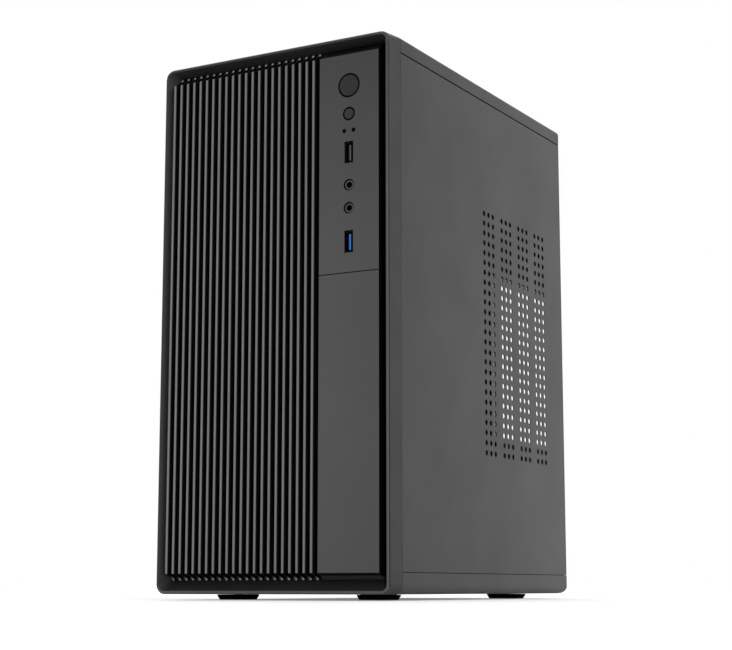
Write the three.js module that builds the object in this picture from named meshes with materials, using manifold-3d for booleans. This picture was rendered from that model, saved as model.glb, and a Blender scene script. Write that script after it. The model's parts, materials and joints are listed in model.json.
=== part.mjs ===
// A micro-ATX mini tower: pressed-steel chassis, ribbed plastic front, power supply and fans.
// Units are millimetres. X runs across the front (+X is the tray side), Y from front to rear, Z up.
// Pieces are drawn from the front face (y = 0) and the underside of the shell (z = 0), and the
// whole case is then set on its feet and centred.

import * as THREE from "three";
import { mergeVertices } from "three/addons/utils/BufferGeometryUtils.js";
import Module from "manifold-3d";

const wasm = await Module();
wasm.setup();

// ---------------------------------------------------------------- driving dimensions

// Shell
const bodyWidth = 172.4; // over the side panels
const bodyHeight = 350; // over the shell, without the feet
const shellDepth = 270; // front face to the rear folds
const footHeight = 3.5;
const sheet = 0.8; // steel sheet
const fit = 0.3; // clearance between pieces that touch
const baseSide = 13; // height of the base tray's visible sides
const coverSide = 10; // height of the top cover's visible sides
const baseFold = 5; // outside fold radius along the bottom edges
const baseRearFold = 5; // outside fold radius at the bottom rear edge
const coverFold = 2.5; // outside fold radius along the top edges
const coverRearFold = 3;
const flangeFront = 18; // front ends of the inner flanges
const flangeDrop = 18; // height of the inner flanges that the side panels lie on
const panelStandoff = 0.8; // air between a side panel and the inner flanges

// Front bezel
const bezelDepth = 16;
const bezelWall = 2;
const bezelCorner = 6; // at the front; at the back the corners match the shell's folds
const lipWidth = 2;
const lipCorner = 4;
const lipSoftness = 0.8; // rounding of the front outer edge
const grooveDepth = 8; // from the rib crests to the valley round them
const valleyInset = { side: 4.6, bottom: 6.5, top: 2.8 }; // lip edge to valley line
const floorFace = 10.8; // front of the bezel's floor plate
const floorThickness = 2;

// Ribs
const ribCount = 22;
const ribPitch = 5.21;
const ribWidth = 2.2;
const ribStart = 7.2; // from the bezel's side to the first rib
const crestBottom = 13; // from the shell's underside to the crests' lower ends
const crestTop = 11.5; // from the shell's top down to the crests' upper ends
const ribLanding = 1; // flat foot at each rib's end
const grooveFloor = 9.2; // front of the insert's base plate
const insertBack = 10.5;

// Fascia strip
const stripRight = 7.2; // from the bezel's side to the strip's edge
const stripWidth = 43;
const stripSeam = 197.4; // height of the joint between the two fascias
const seamGap = 0.6;
const fasciaWall = 2.2;

// Controls and ports in the fascia, on one vertical line
const controlInset = 28.6; // from the bezel's side to the controls' centre line
const powerHeight = 318.1;
const powerRadius = 7.45;
const powerTravel = 1.5;
const resetHeight = 299.5;
const resetRadius = 3.95;
const resetTravel = 1;
const buttonClearance = 0.55; // round a button in its bore
const buttonGuide = 7.5; // depth of the guide tubes' ends
const lightHeight = 288.5;
const lightSpread = 6.7;
const lightRadius = 1.2;
const usbTwoHeight = 274.5;
const usbThreeHeight = 217.1;
const usbShell = { thick: 5.7, wide: 13.1, deep: 13.8, wall: 0.5, front: 1.2 };
const usbOpening = { thick: 6.3, wide: 14.1 };
const usbTongue = { thick: 1.8, wide: 10, deep: 9.2, offset: -0.3 };
const jackHeights = [253.4, 238.6];
const jackRing = 3.3;
const jackBore = 1.8;
const jackHole = 3.8;
const jackBody = { thick: 6.6, tall: 9, front: 3.5, back: 16, face: 0.8 };
const boardThickness = 1.6;

// Side panels
const panelTravel = 18; // slide to the rear before a panel lifts away
const ventRadius = 2.3; // to the corners of the square vents, as open as round ones 3.7 across
const ventRowPitch = 6.89;
const ventColumnPitch = 7.12;
const ventGroupColumns = 3; // every fourth column is left out
const ventSides = 4;
const rightVent = { front: 136.3, bottom: 93.8, groups: 4, rows: 25 };
const leftVent = { front: 172, bottom: 135.1, groups: 2, rows: 11 };
const hookRows = [60, 140, 220];
const hook = { stem: 3, toe: 6, tall: 4, edge: 2.5, room: 0.6 };
const panelReturn = 2.2;
const panelRearFold = 11;
const thumbscrewHeights = [60, 300];
const thumbscrew = { shank: 1.75, reach: 7, head: 4, length: 5.2, hole: 2.2 };

// Inside
const frameFace = 18.5; // front of the front frame sheet
const frameFold = { depth: 12.5, sideDepth: 13.5, corner: 4.5, foot: 16, head: 3 };
const frameWindows = {
  slimBay: { x0: -70, x1: 20, z0: 121, z1: 207 },
  upperIntake: { x0: -70, x1: 20, z0: 228, z1: 320 },
  lowIntakeLeft: { x0: -70, x1: -10, z0: 30, z1: 95 },
  lowIntakeRight: { x0: 2, x1: 62, z0: 30, z1: 95 },
  controls: { x0: 40, x1: 72, z0: 203, z1: 334 },
};
const rearReturn = { reach: 12.1, foot: 24, head: 11 }; // the rear panel's side folds
const trayFace = 80; // inner face of the motherboard tray
const traySill = { front: 45, weld: 24 };
const cpuWindow = { y0: 162, y1: 252, z0: 104.5, z1: 219.5, rim: 3.1, edge: 5 };
const standoff = { height: 6.35, head: 2, foot: 3.2, rows: [60, 104, 150, 254], levels: [45, 90, 238] };
const portWindow = { x: 52.65, z: 173.4, wide: 44.45, tall: 158.75 };
const slotPitch = 20.32;
const slotCount = 4;
const slotFirst = 22.8;
const slotWindow = { x0: -27, x1: 63, tall: 12 };
const slotCover = { x0: -42.8, x1: 70, tall: 18.4, tab: 11.2, slit: 2.2, bead: 6, beadInset: 4 };
const supply = { wide: 150, tall: 86, deep: 140, top: 6, rim: 4, screwTab: 6 };
const supplyLedge = { x0: -72, x1: -60, front: 255 }; // carries the supply's free side
const supplyShelfSize = { x0: 66, drop: 16, front: 4, rear: 1.2 };
const leadHole = { x: -50, z: 60, radius: 9 }; // where the supply's leads leave it
const supplyOutlet = { x: -34, z: 43, reach: 34, pitch: 12, cell: 5 };
const exhaust = { rim: 2, pitch: 11.5, cell: 4.9 }; // honeycomb behind the rear fan
const rearFan = { size: 80, depth: 25, x: -28, z: 205 };
const supplyFan = { size: 120, depth: 25 };
const feet = { x: 53.1, front: 46, rear: 235.3, top: 14, bottom: 12.3, peg: 2.5, pegTall: 2.6 };
const cage = { x0: -80, x1: 23.8, y0: 36, y1: 144, top: 70, foot: 10 };
const cageWindows = { levels: [20, 50], rows: [52, 84, 116], reachY: 11, reachZ: 8 };
const cageLid = { x0: -60, x1: 5, y0: 56, y1: 124 };
const slim = { x0: -60, x1: 15, z0: 106, z1: 226, flange: 8, rise: 8 };
const slimWindow = { x0: -48, x1: 3, z0: 132, z1: 200 };

// ---------------------------------------------------------------- derived places

const half = bodyWidth / 2;
const panelInner = half - sheet;
const rearFace = shellDepth - 2 * sheet - fit; // inner face of the rear panel
const flangeOuter = panelInner - panelStandoff;
const flangeInner = flangeOuter - sheet;
const weldFace = flangeInner - fit; // outer face of sheets welded inside the flanges
const thumbscrewX = weldFace - sheet - thumbscrew.hole - fit;
const flangeY = [flangeFront, shellDepth - 1.5]; // from the flanges' front to rear ends
const coverBottom = bodyHeight - coverSide;
const bezelBack = bezelDepth + fit;
const floorBack = floorFace + floorThickness;
const stripX1 = half - stripRight;
const stripX0 = stripX1 - stripWidth;
const controlX = half - controlInset;
const valley = {
  x: half - lipWidth - valleyInset.side,
  z0: lipWidth + valleyInset.bottom,
  z1: bodyHeight - lipWidth - valleyInset.top,
};
const shellFolds = [baseFold, baseFold, coverFold, coverFold]; // round the shell's section
const crest = { z0: crestBottom, z1: bodyHeight - crestTop };

// ---------------------------------------------------------------- shaping tools

// A closed geometry as a solid that can be joined and cut.
function solid(geometry) {
  for (const name of Object.keys(geometry.attributes)) {
    if (name !== "position") geometry.deleteAttribute(name);
  }
  const merged = mergeVertices(geometry, 1e-4);
  return new wasm.Manifold(
    new wasm.Mesh({
      numProp: 3,
      vertProperties: merged.attributes.position.array,
      triVerts: new Uint32Array(merged.index.array),
    }),
  );
}

const join = (first, ...rest) => rest.reduce((sum, one) => sum.add(one), first);
const cut = (body, ...tools) => tools.reduce((left, one) => left.subtract(one), body);

function block([x0, x1], [y0, y1], [z0, z1]) {
  const box = new THREE.BoxGeometry(x1 - x0, y1 - y0, z1 - z0);
  return solid(box.translate((x0 + x1) / 2, (y0 + y1) / 2, (z0 + z1) / 2));
}

const pairs = (list) => list.map(([u, v]) => new THREE.Vector2(u, v));

// Outlines are drawn in (y, z) and swept along X, in (x, z) along Y, and in (x, y) along Z.
// Each hole is swept a little further than its plate and cut out of it.
const overrun = 1;

function sweep(points, from, to, holes, turn) {
  const bar = (outline, low, high) => {
    const shape = new THREE.Shape(outline);
    const options = { depth: high - low, bevelEnabled: false };
    const geometry = new THREE.ExtrudeGeometry(shape, options);
    return solid(geometry.translate(0, 0, low).applyMatrix4(turn));
  };
  const tools = holes.map((hole) => bar(hole, from - overrun, to + overrun));
  return cut(bar(points, from, to), ...tools);
}

const asX = new THREE.Matrix4().set(0, 0, 1, 0, 1, 0, 0, 0, 0, 1, 0, 0, 0, 0, 0, 1);
const asY = new THREE.Matrix4().set(1, 0, 0, 0, 0, 0, -1, 0, 0, 1, 0, 0, 0, 0, 0, 1);
const asZ = new THREE.Matrix4();
const sweepX = (points, x0, x1, holes = []) => sweep(points, x0, x1, holes, asX);
const sweepY = (points, y0, y1, holes = []) => sweep(points, -y1, -y0, holes, asY);
const sweepZ = (points, z0, z1, holes = []) => sweep(points, z0, z1, holes, asZ);

function circle(u, v, radius, sides) {
  const points = [];
  for (let i = 0; i < sides; i++) {
    const turn = ((i + 0.5) / sides) * 2 * Math.PI;
    points.push(new THREE.Vector2(u + radius * Math.cos(turn), v + radius * Math.sin(turn)));
  }
  return points;
}

const rectangle = (u0, u1, v0, v1) => pairs([[u0, v0], [u1, v0], [u1, v1], [u0, v1]]);

// A rectangle with a radius for each corner: lower left, lower right, upper right, upper left.
function rounded(u0, u1, v0, v1, radii, steps = 4) {
  const corners = [
    [u0, v0, 1, 1, Math.PI],
    [u1, v0, -1, 1, 1.5 * Math.PI],
    [u1, v1, -1, -1, 0],
    [u0, v1, 1, -1, 0.5 * Math.PI],
  ];
  const points = [];
  corners.forEach(([u, v, inU, inV, start], k) => {
    const radius = Array.isArray(radii) ? radii[k] : radii;
    if (radius <= 0) {
      points.push(new THREE.Vector2(u, v));
      return;
    }
    for (let i = 0; i <= steps; i++) {
      const turn = start + (i / steps) * (Math.PI / 2);
      const cu = u + inU * radius + radius * Math.cos(turn);
      const cv = v + inV * radius + radius * Math.sin(turn);
      points.push(new THREE.Vector2(cu, cv));
    }
  });
  return points;
}

// A solid between two outlines in (x, z) with the same number of points.
function loftY(front, y0, back, y1) {
  const n = front.length;
  const corners = [];
  for (const p of front) corners.push(p.x, y0, p.y);
  for (const p of back) corners.push(p.x, y1, p.y);
  const faces = [];
  for (const [a, b, c] of THREE.ShapeUtils.triangulateShape(front, [])) {
    faces.push(a, b, c, n + c, n + b, n + a);
  }
  for (let i = 0; i < n; i++) {
    const j = (i + 1) % n;
    faces.push(i, n + i, j, j, n + i, n + j);
  }
  const geometry = new THREE.BufferGeometry();
  geometry.setAttribute("position", new THREE.Float32BufferAttribute(corners, 3));
  geometry.setIndex(faces);
  return solid(geometry);
}

// A standing prism from z0 to z1 whose outline turns by so many degrees on the way up.
function twisted(outline, z0, z1, degrees, steps) {
  const n = outline.length;
  const corners = [];
  for (let level = 0; level <= steps; level++) {
    const share = level / steps;
    const turn = (share - 0.5) * degrees * THREE.MathUtils.DEG2RAD;
    for (const p of outline) {
      const q = p.clone().rotateAround(new THREE.Vector2(0, 0), turn);
      corners.push(q.x, q.y, z0 + (z1 - z0) * share);
    }
  }
  const faces = [];
  const top = n * steps;
  for (const [a, b, c] of THREE.ShapeUtils.triangulateShape(outline, [])) {
    faces.push(a, c, b, top + a, top + b, top + c);
  }
  for (let level = 0; level < steps; level++) {
    for (let i = 0; i < n; i++) {
      const a = level * n + i;
      const b = level * n + ((i + 1) % n);
      faces.push(a, b, a + n, b, b + n, a + n);
    }
  }
  const geometry = new THREE.BufferGeometry();
  geometry.setAttribute("position", new THREE.Float32BufferAttribute(corners, 3));
  geometry.setIndex(faces);
  return solid(geometry);
}

// A turned solid: the profile is [radius, height] from the top of the axis to its foot.
function turned(profile, sides) {
  const points = pairs(profile).reverse();
  return solid(new THREE.LatheGeometry(points, sides));
}

const turnedY = (profile, sides, [x, y, z]) => turned(profile, sides).translate([x, y, z]);
const standing = (body) => body.transform(asY.elements);

// ---------------------------------------------------------------- materials

const finish = (color, roughness, metalness) =>
  new THREE.MeshStandardMaterial({ color, roughness, metalness });
const materials = {
  coated: finish(0x565656, 0.6, 0.3),
  inner: finish(0x1c1c1d, 0.6, 0.4),
  bezel: finish(0x3a3a3b, 0.5, 0),
  rib: finish(0x707072, 0.4, 0),
  strip: finish(0x4b4b4b, 0.45, 0),
  button: finish(0x383838, 0.4, 0),
  plating: finish(0xb9bcc0, 0.35, 0.9),
  insulator: finish(0x5c5c5e, 0.5, 0),
  fastInsulator: finish(0x3a7ddc, 0.5, 0),
  socket: finish(0x2a2a2b, 0.5, 0),
  board: finish(0x1d3a24, 0.5, 0.1),
  lens: finish(0x141416, 0.2, 0),
  fan: finish(0x111112, 0.55, 0),
  supply: finish(0x8d9092, 0.45, 0.8),
  rubber: finish(0x0b0b0b, 0.8, 0),
};

// ---------------------------------------------------------------- assembly

const tower = new THREE.Group();
const shell = new THREE.Group();
const rearmost = rearFace + slotCover.tab;
const rearExtent = Math.max(rearmost, shellDepth + fit + thumbscrew.length);
shell.position.set(0, -rearExtent / 2, footHeight);
tower.add(shell);

function piece(name, body, material, place = [0, 0, 0]) {
  const { numProp, vertProperties, triVerts } = body.getMesh();
  const corners = new Float32Array((vertProperties.length / numProp) * 3);
  for (let i = 0; i < corners.length / 3; i++) {
    corners.set(vertProperties.subarray(i * numProp, i * numProp + 3), i * 3);
  }
  const geometry = new THREE.BufferGeometry();
  geometry.setAttribute("position", new THREE.BufferAttribute(corners, 3));
  geometry.setIndex(new THREE.BufferAttribute(triVerts, 1));
  geometry.computeVertexNormals();
  const mesh = new THREE.Mesh(geometry, material);
  mesh.name = name;
  mesh.position.set(...place);
  shell.add(mesh);
}

// Both sides are alike apart from their hand.
const hands = [["right", 1], ["left", -1]];
const handed = (body, hand) => (hand > 0 ? body : body.mirror([1, 0, 0]));

// ---------------------------------------------------------------- front bezel

// Snap pegs on the backs of the front inserts, as [x0, x1, z0, z1].
const grillePegs = { columns: [9.6 - valley.x, -22, stripX0 - 14], heights: [30, 170, 318] };
const stripPegs = { io: [204, 330], blank: [20, 186] };
const pegSize = { wide: 5, tall: 3, thin: 2.5, high: 6, inset: 4 };
const grillePeg = (x, z) => [x, x + pegSize.wide, z, z + pegSize.tall];
const stripPeg = (z) => {
  const x = stripX1 - pegSize.inset;
  return [x, x + pegSize.thin, z, z + pegSize.high];
};
const pegs = {
  grille: grillePegs.columns.flatMap((x) => grillePegs.heights.map((z) => grillePeg(x, z))),
  io: stripPegs.io.map(stripPeg),
  blank: stripPegs.blank.map(stripPeg),
};
const pegEnd = floorBack + 1.5;
const peg = ([x0, x1, z0, z1]) => block([x0, x1], [insertBack - 0.5, pegEnd], [z0, z1]);
const pegHole = ([x0, x1, z0, z1]) =>
  block([x0 - fit, x1 + fit], [floorFace - 1, floorBack + 1], [z0 - fit, z1 + fit]);

const clipHeights = [50, 170, 310];
const clip = { x: half - 10.2, thick: 2, tall: 10, barb: 1.2 };
const grip = { reach: 28, front: 7, top: 5.5 }; // finger grip under the bezel
const boardRail = { thick: 2.4, end: 27, z0: 212, z1: 278 };
const boardPost = { spread: 12, z: 307 };
const controlWindow = { x0: controlX - 9, x1: controlX + 9, z0: 286, z1: 327 };
const portSlot = { x0: controlX - 5.9, x1: controlX + 6, z0: 205, z1: controlWindow.z0 + 1 };

function bezelClip(z) {
  const tip = frameFace + sheet + fit;
  const x = clip.x;
  const hooked = pairs([
    [x, floorBack - 0.5],
    [x + clip.thick, floorBack - 0.5],
    [x + clip.thick, tip],
    [x + clip.thick + clip.barb, tip],
    [x + clip.thick, tip + 3],
    [x, tip + 3],
  ]);
  return sweepZ(hooked, z - clip.tall / 2, z + clip.tall / 2);
}

function frontBezel() {
  const outer = rounded(-half, half, 0, bodyHeight, bezelCorner);
  const soft = rounded(
    lipSoftness - half,
    half - lipSoftness,
    lipSoftness,
    bodyHeight - lipSoftness,
    bezelCorner - lipSoftness,
  );
  const rear = rounded(-half, half, 0, bodyHeight, shellFolds);
  const moulding = join(
    loftY(soft, 0, outer, lipSoftness),
    loftY(outer, lipSoftness, rear, bezelDepth),
  );
  const lipX = half - lipWidth;
  const lip = rounded(-lipX, lipX, lipWidth, bodyHeight - lipWidth, lipCorner);
  const low = rounded(-valley.x, valley.x, valley.z0, valley.z1, 1);
  const recess = join(
    loftY(lip, -1, lip, 0),
    loftY(lip, 0, low, grooveDepth),
    loftY(low, grooveDepth, low, floorFace),
  );
  const insideX = half - bezelWall;
  const behind = sweepY(
    rounded(-insideX, insideX, bezelWall, bodyHeight - bezelWall, bezelCorner - bezelWall),
    floorBack,
    bezelDepth + 1,
  );
  const controls = block(
    [controlWindow.x0, controlWindow.x1],
    [floorFace - 1, floorBack + 1],
    [controlWindow.z0, controlWindow.z1],
  );
  const ports = block(
    [portSlot.x0, portSlot.x1],
    [floorFace - 1, floorBack + 1],
    [portSlot.z0, portSlot.z1],
  );
  const fingers = block([-grip.reach, grip.reach], [grip.front, bezelDepth + 1], [-1, grip.top]);
  const holes = [...pegs.grille, ...pegs.io, ...pegs.blank].map(pegHole);
  let body = cut(moulding, recess, behind, controls, ports, fingers, ...holes);
  for (const z of clipHeights) {
    const clasp = bezelClip(z);
    body = join(body, clasp, clasp.mirror([1, 0, 0]));
  }
  const rail = block(
    [ioBoard.x0 - fit - boardRail.thick, ioBoard.x0 - fit],
    [floorBack - 0.5, boardRail.end],
    [boardRail.z0, boardRail.z1],
  );
  const posts = [-1, 1].map((side) =>
    turnedY(boss(switchBoard.y0 - fit - floorBack + 0.5), 10, [
      controlX + side * boardPost.spread,
      floorBack - 0.5,
      boardPost.z,
    ]),
  );
  return join(body, rail, ...posts);
}

// A plain round boss, standing up from the origin.
const boss = (tall) => [[0, tall], [2, tall], [2, 0], [0, 0]];

const ioBoard = {
  x0: controlX - usbShell.thick / 2 - fit - boardThickness,
  y0: 4.5,
  y1: 30,
  z0: 208,
  z1: 283,
};
const switchBoard = { y0: 15.6, z0: 284, z1: 330, reach: 14.5 };

// The ribbed panel: a base plate and one row of ribs with sloped ends.
function grilleInsert() {
  const right = stripX0 - fit;
  const edge = valley.x - fit;
  const plate = block(
    [-edge, right],
    [grooveFloor, insertBack],
    [valley.z0 + fit, valley.z1 - fit],
  );
  const side = pairs([
    [grooveFloor + 0.2, valley.z0 + fit],
    [grooveFloor + 0.2, valley.z1 - fit],
    [grooveDepth, valley.z1 - fit],
    [grooveDepth, valley.z1 - fit - ribLanding],
    [0, crest.z1],
    [0, crest.z0],
    [grooveDepth, valley.z0 + fit + ribLanding],
    [grooveDepth, valley.z0 + fit],
  ]);
  let body = plate;
  for (let i = 0; i < ribCount; i++) {
    const x = ribStart - half + i * ribPitch;
    body = body.add(sweepX(side, x, x + ribWidth));
  }
  return join(body, ...pegs.grille.map(peg));
}

// One length of the flat strip: a shell with a sloped outer end, open at the back.
function fasciaShell(z0, z1, slopeFoot, slopeHead) {
  const outer = (inset, head, foot) =>
    rectangle(stripX0 + inset, stripX1 - inset, z0 - foot + inset, z1 + head - inset);
  const front = outer(0, 0, 0);
  const back = outer(0, slopeHead, slopeFoot);
  const body = join(
    loftY(front, 0, back, grooveDepth),
    loftY(back, grooveDepth, back, insertBack),
  );
  const inFront = outer(fasciaWall, 0, 0);
  const inBack = outer(fasciaWall, slopeHead, slopeFoot);
  return cut(
    body,
    loftY(inFront, fasciaWall, inBack, grooveDepth),
    loftY(inBack, grooveDepth, inBack, insertBack + 1),
  );
}

const through = (radius, z, sides, x = controlX) =>
  sweepY(circle(x, z, radius, sides), -1, insertBack);

function ioFascia() {
  const head = valley.z1 - fit - crest.z1;
  const guide = (radius, z) =>
    sweepY(circle(controlX, z, radius + 1.6, 20), fasciaWall - 0.5, buttonGuide);
  const port = (z) => {
    const x = usbOpening.thick / 2;
    const tall = usbOpening.wide / 2;
    return block([controlX - x, controlX + x], [-1, fasciaWall + 1], [z - tall, z + tall]);
  };
  const power = powerRadius + buttonClearance;
  const reset = resetRadius + buttonClearance;
  const body = join(
    fasciaShell(stripSeam + seamGap / 2, crest.z1, 0, head),
    guide(power, powerHeight),
    guide(reset, resetHeight),
  );
  return join(
    cut(
      body,
      through(power, powerHeight, 20),
      through(reset, resetHeight, 16),
      through(lightRadius + fit, lightHeight, 8, controlX - lightSpread / 2),
      through(lightRadius + fit, lightHeight, 8, controlX + lightSpread / 2),
      port(usbTwoHeight),
      port(usbThreeHeight),
      ...jackHeights.map((z) => through(jackHole, z, 14)),
    ),
    ...pegs.io.map(peg),
  );
}

function blankFascia() {
  const foot = crest.z0 - valley.z0 - fit;
  const body = fasciaShell(crest.z0, stripSeam - seamGap / 2, foot, 0);
  const rib = (z) =>
    block([stripX0 + 1, stripX1 - 1], [fasciaWall - 0.5, grooveDepth], [z - 0.8, z + 0.8]);
  return join(body, rib(75), rib(135), ...pegs.blank.map(peg));
}

piece("front_bezel", frontBezel(), materials.bezel);
piece("grille_insert", grilleInsert(), materials.rib);
piece("io_fascia", ioFascia(), materials.strip);
piece("blank_fascia", blankFascia(), materials.strip);

// ---------------------------------------------------------------- buttons, lights and ports

const flangeFace = buttonGuide + 0.4;
const flangeBack = flangeFace + 1.2;
const plungerFace = flangeBack + fit;
const switchFace = 11.5;

// A cap with a slightly dished face, and the flange that keeps it in its guide.
const cap = { flange: 1.15, edge: 0.4, dish: 0.3 };
function buttonCap(radius) {
  return [
    [0, flangeBack],
    [radius + cap.flange, flangeBack],
    [radius + cap.flange, flangeFace],
    [radius, flangeFace],
    [radius, cap.edge],
    [radius - cap.edge, 0],
    [radius * 0.6, cap.dish * 0.7],
    [0, cap.dish],
  ];
}

function tactSwitch(travel) {
  const depth = switchBoard.y0 - fit - switchFace;
  const reach = plungerReach - switchFace + travel + fit;
  const bore = [[0, reach], [2, reach], [2, -1], [0, -1]];
  const body = block([-3, 3], [0, depth], [-3, 3]);
  return cut(body, turned(bore, 12));
}

const plungerReach = 13;
const plunger = [[0, plungerReach], [1.7, plungerReach], [1.7, plungerFace], [0, plungerFace]];

for (const [name, radius, height, travel] of [
  ["power", powerRadius, powerHeight, powerTravel],
  ["reset", resetRadius, resetHeight, resetTravel],
]) {
  const at = [controlX, 0, height];
  piece(`${name}_button`, turned(buttonCap(radius), 24), materials.button, at);
  piece(`${name}_plunger`, turned(plunger, 12), materials.insulator, at);
  const seat = [controlX, switchFace, height];
  piece(`${name}_switch`, tactSwitch(travel), materials.socket, seat);
}

const switchBoardBody = block(
  [controlX - switchBoard.reach, controlX + switchBoard.reach],
  [switchBoard.y0, switchBoard.y0 + boardThickness],
  [switchBoard.z0, switchBoard.z1],
);
piece("switch_board", switchBoardBody, materials.board);

const lightPipe = [
  [0, switchBoard.y0 - fit],
  [lightRadius, switchBoard.y0 - fit],
  [lightRadius, 5],
  [2, 5],
  [2, 3.4],
  [lightRadius, 3.4],
  [lightRadius, 0.6],
  [0.6, 0.3],
  [0, 0.3],
];
for (const [name, side] of [["power_light", -1], ["drive_light", 1]]) {
  const at = [controlX + (side * lightSpread) / 2, 0, lightHeight];
  piece(name, turned(lightPipe, 10), materials.lens, at);
}

// A USB-A receptacle standing on edge, drawn round its own centre line.
function usbReceptacle() {
  const { thick, wide, deep, wall } = usbShell;
  const outer = block([-thick / 2, thick / 2], [0, deep], [-wide / 2, wide / 2]);
  const x = thick / 2 - wall;
  const z = wide / 2 - wall;
  return cut(outer, block([-x, x], [-1, deep - wall], [-z, z]));
}

function usbInsulator() {
  const { thick, wide, deep, offset } = usbTongue;
  const back = usbShell.deep - usbShell.wall - fit;
  const x = usbShell.thick / 2 - usbShell.wall - fit;
  const z = usbShell.wide / 2 - usbShell.wall - fit;
  return join(
    block([-x, x], [back - 3, back], [-z, z]),
    block(
      [offset - thick / 2, offset + thick / 2],
      [back - 3 - deep, back - 2],
      [-wide / 2, wide / 2],
    ),
  );
}

for (const [name, height, colour] of [
  ["usb2", usbTwoHeight, materials.insulator],
  ["usb3", usbThreeHeight, materials.fastInsulator],
]) {
  const at = [controlX, usbShell.front, height];
  piece(`${name}_shell`, usbReceptacle(), materials.plating, at);
  piece(`${name}_tongue`, usbInsulator(), colour, at);
}

function audioJack() {
  const { thick, tall, front, back, face } = jackBody;
  const body = block([-usbShell.thick / 2, thick - 3], [front, back], [-tall / 2, tall / 2]);
  const collar = turned([[0, front + 1], [jackRing, front + 1], [jackRing, face], [0, face]], 14);
  const bore = turned([[0, back - 1.5], [jackBore, back - 1.5], [jackBore, 0], [0, 0]], 10);
  return cut(join(body, collar), bore);
}
jackHeights.forEach((height, i) => {
  const name = i ? "lower_audio_jack" : "upper_audio_jack";
  piece(name, audioJack(), materials.socket, [controlX, 0, height]);
});

const ioBoardBody = block(
  [ioBoard.x0, ioBoard.x0 + boardThickness],
  [ioBoard.y0, ioBoard.y1],
  [ioBoard.z0, ioBoard.z1],
);
piece("io_board", ioBoardBody, materials.board);

// ---------------------------------------------------------------- chassis

// Slots in an inner flange, one for each side-panel hook.
function hookSlots(z0) {
  return hookRows.map((y) =>
    block(
      [flangeInner - 1, flangeOuter + 1],
      [y - hook.toe - hook.room, y + hook.stem + panelTravel + hook.room],
      [z0 - hook.room, z0 + hook.tall + hook.room],
    ),
  );
}

const lowHook = baseSide + hook.edge;
const highHook = coverBottom - hook.edge - hook.tall;

// The base tray: a pressed tub with joggled flanges for the side panels.
function chassisBase() {
  const y0 = bezelBack;
  const tub = (inset, open) => {
    const across = rounded(
      inset - half,
      half - inset,
      inset,
      baseSide + open,
      [baseFold - inset, baseFold - inset, 0, 0],
    );
    const along = rounded(
      y0 - open,
      shellDepth - inset,
      inset,
      baseSide + open,
      [0, baseRearFold - inset, 0, 0],
    );
    return sweepY(across, y0 - open, shellDepth + open).intersect(sweepX(along, -half, half));
  };
  let body = cut(tub(0, 0), tub(sheet, 2));
  const flange = cut(
    join(
      block([flangeInner, flangeOuter], flangeY, [baseSide - sheet, baseSide + flangeDrop]),
      block([flangeInner, half], flangeY, [baseSide - sheet, baseSide]),
    ),
    ...hookSlots(lowHook),
  );
  body = join(body, flange, flange.mirror([1, 0, 0]));
  const footHole = (x, y) => sweepZ(circle(x, y, feet.peg + fit, 8), -1, 2);
  const holes = [-1, 1].flatMap((side) =>
    [feet.front, feet.rear].map((y) => footHole(side * feet.x, y)),
  );
  return cut(body, ...holes);
}

function topCover() {
  const y0 = bezelBack;
  const z0 = coverBottom;
  const cap = (inset, open) => {
    const across = rounded(
      inset - half,
      half - inset,
      z0 - open,
      bodyHeight - inset,
      [0, 0, coverFold - inset, coverFold - inset],
    );
    const along = rounded(
      y0 - open,
      shellDepth - inset,
      z0 - open,
      bodyHeight - inset,
      [0, 0, coverRearFold - inset, 0],
    );
    return sweepY(across, y0 - open, shellDepth + open).intersect(sweepX(along, -half, half));
  };
  const flange = cut(
    join(
      block([flangeInner, flangeOuter], flangeY, [z0 - flangeDrop, z0 + sheet]),
      block([flangeInner, half], flangeY, [z0, z0 + sheet]),
    ),
    ...hookSlots(highHook),
  );
  return join(cut(cap(0, 0), cap(sheet, 2)), flange, flange.mirror([1, 0, 0]));
}

const sheetZ = { low: sheet + fit, high: bodyHeight - sheet - fit };

function frontFrame() {
  const y = frameFace;
  const windows = Object.values(frameWindows).map(({ x0, x1, z0, z1 }) =>
    rectangle(x0, x1, z0, z1),
  );
  const clips = clipHeights.flatMap((z) =>
    [-1, 1].map((side) => {
      const x = side * (clip.x + clip.thick / 2);
      const tall = clip.tall / 2 + 0.5;
      return rectangle(x - 1.6 - clip.barb, x + 1.6 + clip.barb, z - tall, z + tall);
    }),
  );
  const edge = weldFace;
  const lip = edge - frameFold.corner; // the top and bottom folds stop short of the corners
  const lipY = [y, y + frameFold.depth];
  const face = sweepY(
    rounded(-edge, edge, sheetZ.low, sheetZ.high, shellFolds, 2),
    y,
    y + sheet,
    [...windows, ...clips],
  );
  const side = block(
    [edge - sheet, edge],
    [y, y + frameFold.sideDepth],
    [frameFold.foot, coverBottom - frameFold.head],
  );
  return join(
    face,
    side,
    side.mirror([1, 0, 0]),
    block([-lip, lip], lipY, [sheetZ.low, sheetZ.low + sheet]),
    block([-lip, lip], lipY, [sheetZ.high - sheet, sheetZ.high]),
  );
}

// Punched hexagons in offset rows, filling a circle.
function hexField(centre, reach, { pitch, cell }) {
  const holes = [];
  const rowPitch = pitch * Math.sin(Math.PI / 3);
  const rows = Math.floor(reach / rowPitch);
  for (let row = -rows; row <= rows; row++) {
    const shift = row % 2 ? pitch / 2 : 0;
    for (let x = shift - Math.ceil(reach / pitch) * pitch; x <= reach; x += pitch) {
      const z = row * rowPitch;
      if (Math.hypot(x, z) + cell > reach) continue;
      holes.push(circle(centre.x + x, centre.z + z, cell, 6));
    }
  }
  return holes;
}

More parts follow.
